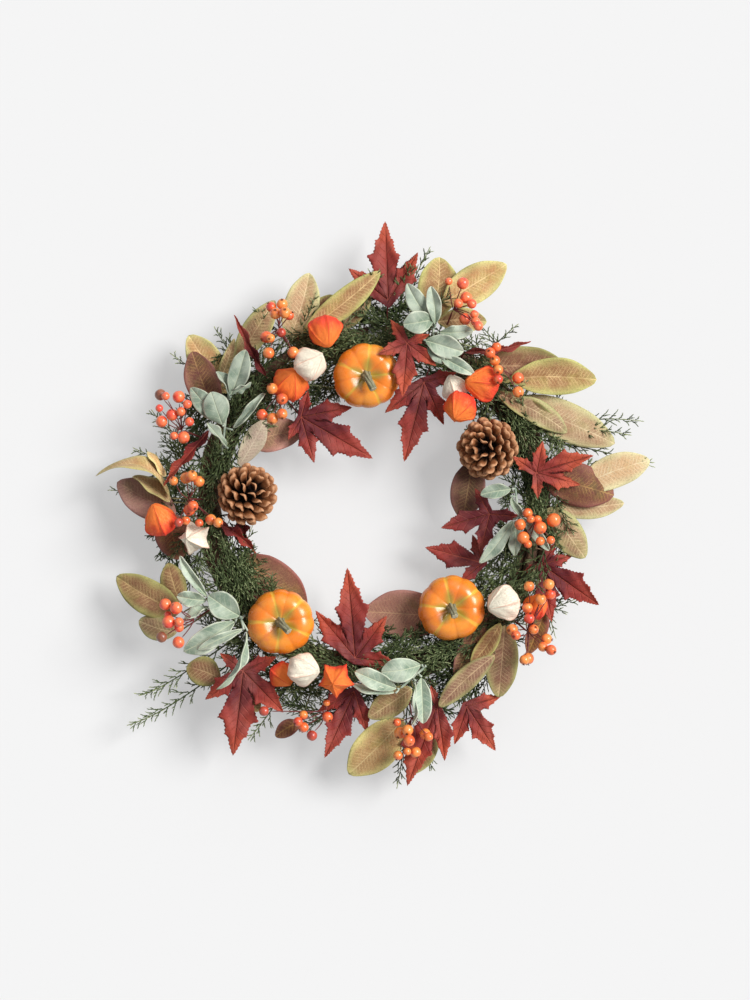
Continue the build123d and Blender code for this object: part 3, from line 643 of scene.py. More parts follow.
def pod_form(base, tip, width, star, spin):
    """A five-ribbed pod from its stalk end to its pointed tip."""
    along = tip - base
    length = np.linalg.norm(along)
    axis = along / length
    directions = beside(axis, (0.1, 0.2, 1))

    def form(u, v):
        turn = u * tau
        rib = (5 * u) % 1 - 0.5
        flat = np.cos(pi / 5) / np.cos(rib * tau / 5)
        edge = np.abs(rib) * 2
        belly = np.sin(pi * v**0.74) ** 0.62 * (1 - 0.30 * v**2.5)
        section = (0.10 * flat + 0.90) * (1 - star * (1 - edge**1.6))
        section += 0.055 * np.exp(-(((1 - edge) / 0.09) ** 2)) - 0.035 * np.exp(-(((0.72 - edge) / 0.15) ** 2))
        crumple = 1 + 0.02 * np.sin(3 * turn + 9 * v) + 0.02 * np.sin(7 * turn - 14 * v + spin)
        reach = width / 2 * belly * section * crumple
        rise = length * (v - 0.06 * star * (1 - edge) * v)
        points = ringed(base + np.outer(rise, axis), reach, turn + spin, directions)
        return points, np.stack([5 * u, v], 1), {}

    return form


def paper(name, light, dark, edge):
    """Thin veined paper, darker along the ribs and towards the stalk, with a faint glow of its own colour as painted
    light.
    """
    made = Paint(name)
    rib, along = made.cloth()[:2]
    near_rib = made.calc("PINGPONG", rib, 0.5)
    veins = made.net(9)
    tint = made.mix(made.rise(made.ruffle(along, 0.9, 55, 4), 0.74, 0.26), light, dark)
    tint = made.mix(made.rise(near_rib, 0.07, 0.0, 0.8), tint, edge)
    tint = made.mix(made.rise(veins, 0.05, 0.0, 0.2), tint, edge)
    relief = made.plus(made.rise(veins, 0.0, 0.08), made.times(made.cloud(260, 4), 0.8))
    # Painted light: a faint emission in the paper's own colour makes the pods glow a little.
    looks = dict(roughness=0.6, specular_ior_level=0.3, emission_color=tint, emission_strength=0.08)
    return made.surface(relief, 0.0003, base_color=tint, **looks)


# How far the paper between the ribs is sunk in, and how far the pod is turned on its axis.
pod_looks = {
    "orange_1": (0.06, 0.2), "orange_2": (0.10, 0.6), "orange_3": (0.06, 0.9), "orange_4": (0.10, 0.1),
    "orange_5": (0.30, 0.4), "orange_6": (0.12, 0.8), "orange_7": (0.08, 0.5), "orange_8": (0.08, 1.1),
    "cream_1": (0.10, 0.3), "cream_2": (0.34, 0.0), "cream_3": (0.12, 0.7), "cream_4": (0.04, 0.5),
    "cream_5": (0.10, 0.9),
}
papers = {
    "orange": paper("orange_paper", "#fb8138", "#ec4630", "#dc3a26"),
    "cream": paper("cream_paper", "#fdf5df", "#f9e6d2", "#eebfa6"),
}


def plain(name, grain, cloud, light, dark, **looks):
    """A finish of two tones in soft patches, with a fine grain; grain and cloud are their scales."""
    made = Paint(name)
    depth = looks.pop("depth", 0.0003)
    return made.surface(made.cloud(*grain), depth, base_color=made.mix(made.cloud(*cloud), light, dark), **looks)


twig_brown = plain("brown_stalk", (900,), (300,), "#7a4a34", "#4c2c22", roughness=0.6)
for name, (star, spin) in pod_looks.items():
    pod_points, stalk_points = solids_of(f"lantern_{name}")
    near, far = stalk_ends(stalk_points, pod_points)
    axis = unit(pod_points.mean(0) - near)
    along = (pod_points - near) @ axis
    base, tip = near + axis * along.min(), near + axis * along.max()
    spread = pod_points - near - np.outer(along, axis)
    width = 2 * np.linalg.norm(spread, axis=1).max() * pod_fullness
    pod = formed_sheet("pod", 90, 28, pod_form(base, tip, width, star, spin), close=True)
    pod.data.materials.append(papers[name.split("_")[0]])
    thin = stalk("pod_stalk", far, base + axis * 0.001, 0.0008, 0.0007, (0, 0.002, 0))
    thin.data.materials.append(twig_brown)
    dress(join(f"pod_{name}", [pod, thin]), f"lantern_{name.split('_')[0]}", f"lantern_{name}")

# ---- magnolia leaves ----
# Stiffened cloth leaves, olive to brown-rose with fine cream veins and yellow-green rims, and some
# burgundy ones. Each lies where its CAD blade does, with its own cup, wave and twist.
Blade = namedtuple("Blade", "base along across normal length width bend")
cloth_thickness = 0.00035


def read_blade(points, stalk_points):
    """Where a CAD blade lies, from its stalk end to its tip, facing the viewer."""
    axes = axes_of(points)[1]
    first, last = stalk_ends(points, np.array(ends_of(stalk_points)))
    length = np.linalg.norm(last - first)
    along = (last - first) / length
    normal = unit(axes[2] - along * (axes[2] @ along))
    normal = -normal if normal[1] > 0 else normal
    across = np.cross(along, normal)
    share = (points - first) @ along / length
    bend = ((points - first) @ normal)[abs(share - 0.5) < 0.15].mean()
    return Blade(first, along, across, normal, length * 1.01, np.ptp((points - first) @ across), bend)


def leaf_sheet(blade, peak, full, fold, wave, waves, twist, sway, cup=0.0, droop=0.0, teeth=0.0, grid=(14, 36)):
    """A leaf over a CAD blade, with its rim's distance from 0 to 1 and its UV map in 100 mm."""
    phase = rng.random() * tau

    def form(u, v):
        s = 2 * u - 1
        half = blade.width / 2 * np.maximum(np.sin(pi * v**peak), 0) ** full
        half = half * (1 - 0.25 * np.clip((v - 0.72) / 0.28, 0, 1) ** 1.5)
        half = half * (1 - 0.2 * np.clip((0.25 - v) / 0.25, 0, 1))
        half = half * (1 + teeth * ((v * 17) % 1 - 0.5) + 2 * teeth * np.sin(v * 19 + np.sign(s)) * np.abs(s))
        half = half / sqrt(1 + fold**2)
        x = half * s + sway * np.sin(pi * v)
        z = blade.bend * 4 * v * (1 - v) + half * (fold * np.abs(s) + cup * s**2)
        z = z + wave * s**2 * np.sin(pi * v) * np.sin(tau * waves * v + phase + 1.9 * np.sign(s))
        z = z - droop * blade.length * v**3 - 0.0004 * np.exp(-((half * s / 0.0015) ** 2))
        turn = twist * (v - 0.3)
        x, z = x * np.cos(turn) - z * np.sin(turn), x * np.sin(turn) + z * np.cos(turn)
        points = blade.base + np.outer(v * blade.length, blade.along)
        points += np.outer(x, blade.across) + np.outer(z, blade.normal)
        cloth = np.stack([0.5 + half * s / 0.1, v * blade.length / 0.1], 1)
        return points, cloth, {"rim": np.minimum(1 - np.abs(s), np.minimum((1 - v) * 3.5, v * 6))}

    return formed_sheet("leaf", *grid, form)


def tint(piece, **codes):
    """Stores colours on all of a piece for its material to read."""
    for key, code in codes.items():
        layer = piece.data.attributes.new(key, "FLOAT_COLOR", "POINT")
        layer.data.foreach_set("color", np.tile(colour(code), len(piece.data.vertices)))


def thicken(piece, thickness, underside):
    """Gives a leaf sheet its thickness, behind it, and another material on its back."""
    piece.data.materials.append(underside)
    solid = piece.modifiers.new("thickness", "SOLIDIFY")
    solid.thickness = thickness
    solid.offset = -1
    solid.material_offset = 1
    bpy.context.view_layer.objects.active = piece
    bpy.ops.object.modifier_apply(modifier=solid.name)


def veins_of(made, spacing, slant, width):
    """Midrib and side veins from 0 to 1 on a leaf's UV map, with their spacing and width in mm."""
    place = made.cloth()
    signed = made.times(made.less(place[0], 0.5), 100)
    across = made.calc("ABSOLUTE", signed)
    along = made.times(place[1], 100)
    curve = made.times(made.times(across, across), 0.010)
    run = made.less(along, made.less(made.times(across, slant), curve))
    run = made.plus(made.calc("DIVIDE", run, spacing), made.times(made.calc("SIGN", signed), 0.22))
    run = made.plus(run, made.times(made.cloud(90, 2), 0.5))
    side = made.rise(made.calc("PINGPONG", run, 0.5), width / spacing, 0.0)
    return made.rise(across, 0.85, 0.25), made.times(side, made.rise(across, 16, 2))


cloth = Paint("magnolia_cloth")
rib, side = veins_of(cloth, 3.8, 0.75, 0.7)
net = cloth.rise(cloth.net(90), 0.16, 0.03)
inner = cloth.rise(cloth.ruffle(cloth.read("rim"), 0.6, 48, 4), -0.02, 0.56)
speck = cloth.cloud(700, 2)
blotch = cloth.rise(cloth.cloud(62, 4), 0.46, 0.66, 0.8)
base = cloth.mix(blotch, cloth.read("centre", "Color"), cloth.read("patch", "Color"))
base = cloth.mix(inner, cloth.read("border", "Color"), base)
base = cloth.mix(cloth.times(cloth.rise(speck, 0.48, 0.66), 0.3), base, "#4a2a18")
lines = cloth.most(side, cloth.times(net, 0.6))
lines = cloth.times(lines, cloth.rise(cloth.read("rim"), 0.0, 0.30))
lines = cloth.most(lines, rib)
printed = cloth.times(lines, cloth.rise(cloth.cloud(90, 2), 0.2, 0.6, 0.8))
base = cloth.mix(printed, base, cloth.read("vein", "Color"))
base = cloth.node("HueSaturation", color=base, value=cloth.read("shade"), saturation=cloth.read("shade")).outputs[0]
relief = cloth.less(speck, cloth.times(lines, 0.7))
cloth.surface(relief, 0.00025, base_color=base, roughness=0.6, specular_ior_level=0.25, sheen_weight=0.05)

pale_cloth = Paint("magnolia_underside")
rib, side = veins_of(pale_cloth, 5.6, 0.85, 0.55)
under = pale_cloth.mix(pale_cloth.cloud(80, 4), "#b59c7e", "#96786a")
under = pale_cloth.mix(pale_cloth.most(rib, pale_cloth.times(side, 0.5)), under, "#d6c9a6")
pale_cloth.surface(pale_cloth.cloud(700, 2), 0.0002, base_color=under, roughness=0.75, specular_ior_level=0.25)

leaf_stalk = plain("leaf_stalk", (800,), (250,), "#7d7a4a", "#5e4a33", roughness=0.6)

# Tones by letter: olive to gold, but r, w and p are burgundy to rose, and m is a pale beige.
magnolia_tones = {
    "o": dict(centre="#a07650", patch="#a8995e", border="#bab678", vein="#e2c898"),
    "b": dict(centre="#865843", patch="#8d7248", border="#a3a062", vein="#d4b286"),
    "g": dict(centre="#987152", patch="#a08f5a", border="#b8b678", vein="#e2c898"),
    "k": dict(centre="#875e44", patch="#8d794a", border="#aeab6a", vein="#cdb07c"),
    "y": dict(centre="#dcae78", patch="#dcc586", border="#e6dca2", vein="#f4e0b4"),
    "r": dict(centre="#683a34", patch="#5f5030", border="#8a5850", vein="#b08a58"),
    "w": dict(centre="#84584a", patch="#866a42", border="#965a52", vein="#c8a070"),
    "p": dict(centre="#a27468", patch="#94785c", border="#b4847a", vein="#cda888"),
    "m": dict(centre="#b39c8c", patch="#b0a48c", border="#bfb59a", vein="#d2c6aa"),
    "l": dict(centre="#bb9068", patch="#bba46c", border="#d0ca8e", vein="#eed6a6"),
    "e": dict(centre="#b99066", patch="#b6a064", border="#c8bf80", vein="#e6cf9c"),
}
# The tone of each leaf, in the order of its CAD node.
magnolia_letters = {
    "top_left": "lrgglb", "top": "ggbglg", "right": "bglgb",
    "lower_right": "rylgrr", "bottom": "kbbrpgeo", "left": "kkgbeeyprwpmrg",
}
for name, letters in magnolia_letters.items():
    solids = solids_of(f"magnolia_{name}")
    pieces = []
    for letter, blade_points, stalk_points in zip(letters, solids[0::2], solids[1::2]):
        blade = read_blade(blade_points, stalk_points)
        leaf = leaf_sheet(
            blade, peak=rng.uniform(0.9, 1.08), full=rng.uniform(0.46, 0.56), fold=rng.uniform(-0.1, 0.38),
            cup=rng.uniform(-0.25, 0.15), wave=rng.uniform(0.001, 0.0032), waves=rng.uniform(1, 2),
            twist=rng.uniform(-0.3, 0.3), sway=rng.uniform(-0.0025, 0.0025), droop=rng.uniform(-0.02, 0.06),
        )
        tint(leaf, **magnolia_tones[letter])
        number(leaf, shade=rng.uniform(0.90, 1.10))
        leaf.data.materials.append(cloth.material)
        pieces.append(leaf)
    leaves = join(f"magnolia_leaves_{name}", pieces)
    thicken(leaves, cloth_thickness, pale_cloth.material)
    stalks = []
    for blade_points, stalk_points in zip(solids[0::2], solids[1::2]):
        near, far = stalk_ends(stalk_points, blade_points)
        petiole = stalk("petiole", far, near + unit(near - far) * 0.001, 0.0009, 0.0008, (0, 0.001, 0))
        petiole.data.materials.append(leaf_stalk)
        stalks.append(petiole)
    dress(join(leaves.name, [leaves] + stalks), "magnolia_leaf", f"magnolia_{name}")

# ---- maple leaves ----
# Pointed, serrated cloth leaves, dark burgundy at the heart and rust red towards the lobes' tips,
# pleated along their veins. Some are folded narrow, and show as red blades.
Maple = namedtuple("Maple", "lobes rust fold curl")
# The lobes' directions in degrees and lengths in mm, how red the leaf is, and how it folds and curls.
maples = {
    # The left leaf's low rust is painted shade in part: it is made darker because it lies in shade.
    "left": (Maple(((-30, 83), (-74, 48), (11, 52), (75, 28), (-120, 26)), 0.18, 0.2, 0.1),),
    "top": (
        Maple(((92, 80), (141, 51), (58, 57)), 0.36, 0.3, -0.05),
        Maple(((-95, 54), (-38, 37), (201, 31), (22, 24), (125, 29)), 0.46, 0.2, 0.12),
        Maple(((-104, 82), (-65, 47), (218, 50), (16, 33)), 0.25, 0.25, 0.1),
    ),
    "right": (
        Maple(((17, 60), (78, 33), (145, 29), (-15, 46), (-86, 26)), 0.52, 0.25, 0.1),
        Maple(((196, 51), (120, 30), (-5, 31), (256, 40)), 0.0, 0.2, 0.05),
        Maple(((165, 60), (110, 30), (220, 30)), 0.14, 0.2, 0.05),
        Maple(((-35, 70), (17, 34), (56, 28), (-80, 58), (202, 20)), 0.2, 0.25, 0.1),
    ),
    "lower_left": (Maple(((263, 86), (217, 48), (314, 58), (142, 29), (23, 36)), 0.32, 0.2, 0.1),),
    "bottom": (
        Maple(((95, 91), (130, 62), (53, 53), (-8, 43)), 0.34, 0.25, 0.05),
        Maple(((246, 73), (209, 42), (288, 43)), 0.22, 0.2, 0.15),
        Maple(((250, 87), (278, 57), (108, 20)), 0.38, 0.25, 0.15),
        Maple(((16, 36), (-57, 53), (252, 40)), 0.40, 0.2, 0.1),
    ),
}
# How red the folded leaves are, which come after the whole ones in their nodes.
folded_rust = {"left": (0.15, 0.35, 0.2, 0.0), "top": (0.15,), "right": (), "lower_left": (), "bottom": ()}
# One side of a lobe, from the notch to the tip: share of its length, and half width over its length.
lobe_side = (
    (0.34, 0.155), (0.45, 0.185), (0.57, 0.245), (0.595, 0.165), (0.68, 0.135),
    (0.76, 0.130), (0.78, 0.085), (0.86, 0.062), (1.0, 0.0),
)
side_steps = 40
tooth_height = 0.015


def maple_rim(lobes):
    """Points round a maple leaf: place (x, z), place along and off its lobe's vein, and share of it."""
    rows = []
    count = len(lobes)
    for index, (angle, length) in enumerate(lobes):
        after = lobes[(index + 1) % count]
        before = lobes[index - 1]
        for side, other in ((-1, before), (1, after)):
            gap = (side * (other[0] - angle)) % 360 if count > 1 else 360
            notch = (0.38 if gap < 100 else 0.15) * min(length, other[1])
            squeeze = min(1, gap / 2 / 25)
            spread = radians(gap / 2)
            sides = [(notch / length * cos(spread), notch / length * sin(spread))]
            sides += [(s, h * squeeze) for s, h in lobe_side if s > sides[0][0] + 0.06]
            run = np.linspace(0, 1, side_steps)
            keys = np.cumsum([0] + [hypot(b[0] - a[0], b[1] - a[1]) for a, b in zip(sides, sides[1:])])
            s = np.interp(run, keys / keys[-1], [p[0] for p in sides])
            h = np.interp(run, keys / keys[-1], [p[1] for p in sides])
            tooth = np.where(np.arange(side_steps) % 2 == 1, tooth_height, 0.0) * np.sin(pi * run) ** 0.3
            tooth[0] = tooth[-1] = 0
            h = h + tooth
            turn = radians(angle)
            x = length * (s * cos(turn) - side * h * sin(turn))
            z = length * (s * sin(turn) + side * h * cos(turn))
            foot = 0.97 * length * np.maximum(s - s[0], 0) / (1 - s[0])
            same = np.ones(side_steps)
            rim = np.stack([x, z, s * length, h * length, same * index, same * turn, foot], 1)
            rows.append(rim[::-side])
    return np.concatenate(rows)


def maple_sheet(centre, normal, leaf):
    """A pleated maple leaf about the point where its lobes meet."""
    lobes = sorted((angle % 360, length / 1000) for angle, length in leaf.lobes)
    rim = maple_rim(lobes)
    count = len(rim)
    lengths = np.array([length for _, length in lobes])
    phases = rng.random(len(lobes)) * tau
    curls = leaf.curl * rng.uniform(0.3, 1.3, len(lobes)) * np.where(rng.random(len(lobes)) < 0.3, -0.6, 1)

    def form(u, v):
        which = np.clip(np.round((1 - u) * count).astype(int), 0, count) % count
        x, z, s, h, lobe, turn, foot = rim[which].T
        lobe = lobe.astype(int)
        spot_s = foot + (s - foot) * v
        spot_h = h * v
        fx, fz = foot * np.cos(turn), foot * np.sin(turn)
        px, pz = fx + (x - fx) * v, fz + (z - fz) * v
        length = lengths[lobe]
        part = spot_s / length
        rise = 1.6 * leaf.fold * spot_h * (1 - 0.4 * v)
        rise += 0.0011 * np.sin((spot_s + 2.0 * spot_h) / 0.0040 + phases[lobe]) * v
        rise -= curls[lobe] * length * np.clip(part - 0.15, 0, 1) ** 2
        rise += 0.003 * np.sin(spot_s / 0.014 + phases[lobe]) * part
        y = (-(normal[0] * px + normal[2] * pz) / normal[1]) - rise
        points = centre + np.stack([px, y, pz], 1)
        return points, np.stack([0.5 + spot_h / 0.1, spot_s / 0.1], 1), {"share": np.clip(part, 0, 1)}

    return formed_sheet("maple_leaf", count, 7, form)


felt = Paint("maple_cloth")
rib, side = veins_of(felt, 8.5, 1.1, 0.9)
share = felt.ruffle(felt.read("share"), 0.7, 48, 4)
heat = felt.plus(felt.rise(share, 0.05, 0.95), felt.less(felt.times(felt.read("rust"), 1.7), 0.55))
red = felt.mix(felt.rise(heat, 0.0, 0.5), "#5e1c22", "#8e322b")
red = felt.wash(red, "#b85036", heat, 0.5, 1.2)
veins = felt.times(felt.most(felt.times(side, 0.45), felt.times(rib, 0.8)), 0.6)
red = felt.mix(veins, red, "#b85c48")
# Painted sheen: soft pale pink patches over the felt.
red = felt.wash(red, "#ad6257", felt.cloud(34, 3), 0.48, 0.72, 0.4)
grain = felt.cloud(900, 3)
red = felt.wash(red, "#24090c", grain, 0.50, 0.7, 0.35)
relief = felt.less(grain, felt.times(felt.most(rib, side), 1.2))
felt.surface(relief, 0.0004, base_color=red, roughness=0.65, specular_ior_level=0.3, sheen_weight=0.02)

back_looks = dict(depth=0.0002, roughness=0.8, specular_ior_level=0.2)
felt_back = plain("maple_underside", (900,), (60, 4), "#8a3a34", "#6a2228", **back_looks)
red_stalk = plain("red_stalk", (800,), (250,), "#7a2f2c", "#4f1c20", roughness=0.55)

for name, leaves in maples.items():
    solids = solids_of(f"maple_{name}")
    pieces, stalks = [], []
    for index, (blade_points, stalk_points) in enumerate(zip(solids[0::2], solids[1::2])):
        near, far = stalk_ends(stalk_points, blade_points)
        if index < len(leaves):
            normal = axes_of(blade_points)[1][2]
            normal = -normal if normal[1] > 0 else normal
            leaf = maple_sheet(near + normal * 0.0012, normal, leaves[index])
            number(leaf, rust=leaves[index].rust)
        else:
            blade = read_blade(blade_points, stalk_points)
            leaf = leaf_sheet(
                blade._replace(width=blade.width * 1.1), peak=0.8, full=0.7, fold=1.3, wave=0.0018, waves=3.3,
                twist=rng.uniform(-0.9, 0.9), sway=rng.uniform(-0.005, 0.005), teeth=0.22, grid=(12, 85),
            )
            spots = np.array([point.co[:] for point in leaf.data.vertices]) - blade.base
            number(leaf, share=spots @ blade.along / blade.length, rust=folded_rust[name][index - len(leaves)])
        leaf.data.materials.append(felt.material)
        pieces.append(leaf)
        thin = stalk("maple_stalk", far, near, 0.0009, 0.0008)
        thin.data.materials.append(red_stalk)
        stalks.append(thin)
    whole = join(f"maple_leaves_{name}", pieces)
    thicken(whole, cloth_thickness, felt_back)
    dress(join(whole.name, [whole] + stalks), "maple_leaf", f"maple_{name}")

# ---- lamb's ear sprays ----
# Pale grey-green, felted leaves, thick and soft, on short felted stalks. A lighter rim is painted on as highlight, and
# painted shade darkens each leaf towards its foot.
velvet = Paint("lambs_ear_felt")
rib, side = veins_of(velvet, 6.5, 0.8, 0.9)
# Painted shade: darker towards the foot of each leaf, where it goes into the wreath.
low = velvet.rise(velvet.cloth()[1], 0.22, 0.0, 0.6)
rim = velvet.ruffle(velvet.read("rim"), 0.2, 200, 3)
tone = velvet.mix(velvet.rise(velvet.cloud(60, 4), 0.35, 0.7), "#b9c4b2", "#788d7a")
tone = velvet.mix(low, tone, "#6f8468")
# Painted highlight: a lighter rim round each leaf, where the fuzz would catch light.
tone = velvet.wash(tone, "#dfe2cc", rim, 0.16, 0.02, 0.6)
tone = velvet.mix(velvet.times(velvet.most(rib, velvet.times(side, 0.55)), 0.6), tone, "#cdd5b6")
fuzz = velvet.cloud(1500, 2)
tone = velvet.wash(tone, "#e4e8d6", fuzz, 0.5, 0.75, 0.25)
tone = velvet.node("HueSaturation", color=tone, value=velvet.read("shade")).outputs[0]
flock = dict(roughness=0.9, specular_ior_level=0.3, sheen_weight=0.3, sheen_roughness=0.5)
velvet.surface(velvet.less(fuzz, velvet.times(rib, 1.2)), 0.0003, base_color=tone, **flock)

# How light each spray is, and how far each of its leaves is folded.
spray_shades = {"upper_left": 0.88, "top": 1.0, "lower_left": 1.12, "bottom": 1.22, "right": 0.95}
spray_folds = {
    "upper_left": (0.3, 0.5, 0.4, 0.15, 0.1, 2.0, 0.8), "lower_left": (0.2, 0.9, 0.3, 0.6, 0.5, 0.9, 2.0),
    "bottom": (0.15, 0.3, 1.1, 0.9, 0.3), "right": (0.7, 0.5, 0.6, 0.9, 1.1),
}
felt_thickness = 0.0009
for name, spray_shade in spray_shades.items():
    solids = solids_of(f"lambs_ear_{name}")
    pieces, stalks, feet = [], [], []
    folds = spray_folds.get(name, rng.uniform(0.1, 0.5, 9))
    for blade_points, stalk_points, fold in zip(solids[2::2], solids[3::2], folds):
        leaf = leaf_sheet(
            read_blade(blade_points, stalk_points), peak=1.15, full=0.54, fold=fold, cup=rng.uniform(-0.3, 0.15),
            wave=rng.uniform(0.0012, 0.003), waves=rng.uniform(1.2, 2.2), twist=rng.uniform(-0.5, 0.5),
            sway=rng.uniform(-0.002, 0.002), droop=rng.uniform(-0.03, 0.08),
        )
        number(leaf, shade=spray_shade * rng.uniform(0.9, 1.08))
        leaf.data.materials.append(velvet.material)
        pieces.append(leaf)
        near, far = stalk_ends(stalk_points, blade_points)
        feet.append(far)
        stalks.append(stalk("felt_stalk", far, near + unit(near - far) * 0.0015, 0.0010, 0.0011, (0, -0.0015, 0)))
    whole = join(f"felted_leaves_{name}", pieces)
    thicken(whole, felt_thickness, velvet.material)
    root, joint = sorted(ends_of(solids[0]), key=lambda end: -end[1])
    joint, crown = sorted(ends_of(solids[1]), key=lambda end: np.linalg.norm(end - joint))
    reach = crown - joint
    lowest = min((foot - joint) @ reach / (reach @ reach) for foot in feet)
    bend = joint + reach * max(lowest - 0.05, 0)
    root = bend + np.array((0, 0.034, 0)) if lowest > 0.2 else root
    stalks.append(stalk("felt_stem", root, bend, 0.0013, 0.0013))
    stalks.append(stalk("felt_stem", bend, crown, 0.0013, 0.0012))
    for piece in stalks:
        piece.data.materials.append(velvet.material)
        number(piece, rim=0.5, shade=0.92 * spray_shade)
    dress(join(whole.name, [whole] + stalks), "lambs_ear_leaf", f"lambs_ear_{name}")

# ---- cedar sprigs ----
# Dark green sprigs of soft needles, paler at the tips: a stem with twigs on both sides, each with
# shorter twigs of its own, all set with needles that point forward.
needle_points = np.array([(0, 0, 0), (0.5, 0, 0.4), (-0.25, 0.43, 0.4), (-0.25, -0.43, 0.4), (0, 0, 1)])
needle_faces = [(0, 2, 1), (0, 3, 2), (0, 1, 3), (4, 1, 2), (4, 2, 3), (4, 3, 1)]
needle_step = 0.0011
cad_spacing, cover_spacing = 0.0062, 0.0050
splay, splay_limit = 900, 0.034
hoop_middle = np.array((0, bundle_y, hoop_centre.z))


def needles_along(start, end, bow, paleness):
    """Frames, places and tones of the needles round one twig."""
    length = np.linalg.norm(end - start)
    count = max(int(length / needle_step), 3)
    share = (np.arange(count) + 0.5) / count
    path = start + np.outer(share, end - start) + np.outer(np.sin(share * pi), bow)
    heading = unit(end - start + np.outer(np.cos(share * pi) * pi, bow))
    side, over = beside(heading, (0.2, 0.9, 0.35))
    turn = (share * count * 2.4)[:, None]
    lean = rng.uniform(0.10, 0.34, (count, 1)) * (1 - 0.5 * share[:, None])
    out = side * np.cos(turn) + over * np.sin(turn)
    along = unit(heading * np.cos(lean) + out * np.sin(lean))
    size = rng.uniform(0.0028, 0.0040, (count, 1)) * (1 - 0.25 * share[:, None])
    across = unit(np.cross(along, out + 0.01))
    up = np.cross(along, across)
    wide = 0.0016 * (1 - 0.3 * share[:, None])
    frames = np.stack([across * wide, up * wide, along * size], 2)
    tones = np.clip(paleness * (0.25 + 0.75 * share) + rng.uniform(-0.12, 0.12, count), 0, 1)
    return frames, path, tones


green = Paint("cedar_needles")
tone = green.read("tone")
leafy = green.mix(green.rise(tone, 0.0, 0.5), "#28321a", "#586640")
leafy = green.wash(leafy, "#a9b184", tone, 0.5, 1.0)
leafy = green.wash(leafy, "#69704c", green.cloud(45, 3), 0.5, 0.75, 0.35)
green.surface(green.cloud(1200), 0.0002, base_color=leafy, roughness=0.6, specular_ior_level=0.2)


def sprig(root, tip, bow, spread, spacing, pale=1.0):
    """The twigs of one sprig: where each starts and ends, its bow, and how pale it is."""
    length = np.linalg.norm(tip - root)
    axis = (tip - root) / length
    side = unit(np.cross(axis, (0, -1, 0)))
    branches = [(root + (tip - root) * 0.05, tip, bow, pale)]
    twig_count = max(int(length / spacing), 8)
    for step in range(twig_count):
        share = 0.08 + 0.86 * step / twig_count
        foot = root + (tip - root) * share + bow * sin(pi * share)
        way = 1 if step % 2 else -1
        lean = radians(rng.uniform(24, 44))
        reach = max(min(spread * 1.4, 0.021) * (1 - 0.6 * share) * rng.uniform(0.5, 1.3), 0.005)
        lift = np.array((0, -1, 0)) * rng.uniform(-0.2, 0.7)
        heading = unit(axis * cos(lean) + (side * way + lift) * sin(lean))
        paleness = (rng.uniform(0.25, 0.65) + 0.4 * share) * pale
        branches.append((foot, foot + heading * reach, axis * 0.0008, paleness))
        for inner in range(int(reach / 0.007)):
            start = foot + heading * reach * (0.35 + 0.28 * inner)
            turned = unit(heading + side * way * (0.55 if inner % 2 else -0.55) + lift * 0.5)
            end = start + turned * rng.uniform(0.003, 0.007)
            branches.append((start, end, heading * 0, paleness + 0.15))
    return branches


def cedar_piece(name, lines):
    """One piece of many sprigs, each a line of root, tip, bow, twig length, twig spacing and paleness."""
    made, stems = [], []
    for line in lines:
        root, tip, bow = line[:3]
        stems.append(stalk("cedar_stem", root, tip, 0.0009, 0.0003, bow))
        made += [needles_along(*branch) for branch in sprig(*line)]
    frames, places, tones = (np.concatenate(part) for part in zip(*made))
    sprigs = copies(name, (needle_points, needle_faces), frames, places, {"tone": tones})
    for piece in stems:
        number(piece, tone=0.15)
    for piece in [sprigs] + stems:
        piece.data.materials.append(green.material)
    return join(name, [sprigs] + stems)


# Where short sprigs of each node hide the hoop: from and to what angle round it, in degrees.
cover_arcs = {"top": (58, 128), "right": (-58, 58), "left": (128, 232), "bottom": (232, 302)}
# Fuller patches: from and to what angle round the hoop, how far in and out of it, and how far forward.
thickets = {
    "top": ((98, 128, -0.046, -0.016, 0.009), (78, 100, 0.012, 0.040, 0.009)),
    "right": (
        (-60, -46, -0.010, 0.042, 0.009), (-42, -10, -0.040, -0.012, 0.009),
        (0, 22, -0.032, 0.002, 0.009), (30, 48, -0.030, 0.006, 0.009),
    ),
    "left": (
        (134, 166, 0.012, 0.048, 0.009), (138, 152, -0.022, 0.012, 0.014), (166, 196, 0.020, 0.056, 0.009),
        (198, 232, -0.036, 0.016, 0.009), (202, 218, -0.036, -0.010, 0.020), (214, 232, 0.010, 0.045, 0.012),
    ),
    "bottom": (
        (232, 262, 0.018, 0.058, 0.009), (272, 296, -0.036, 0.000, 0.009), (284, 302, 0.000, 0.058, 0.009),
        (284, 304, 0.004, 0.044, 0.010), (262, 284, 0.004, 0.034, 0.009),
    ),
}
strap_angle = 90
cover_edge = 0.018
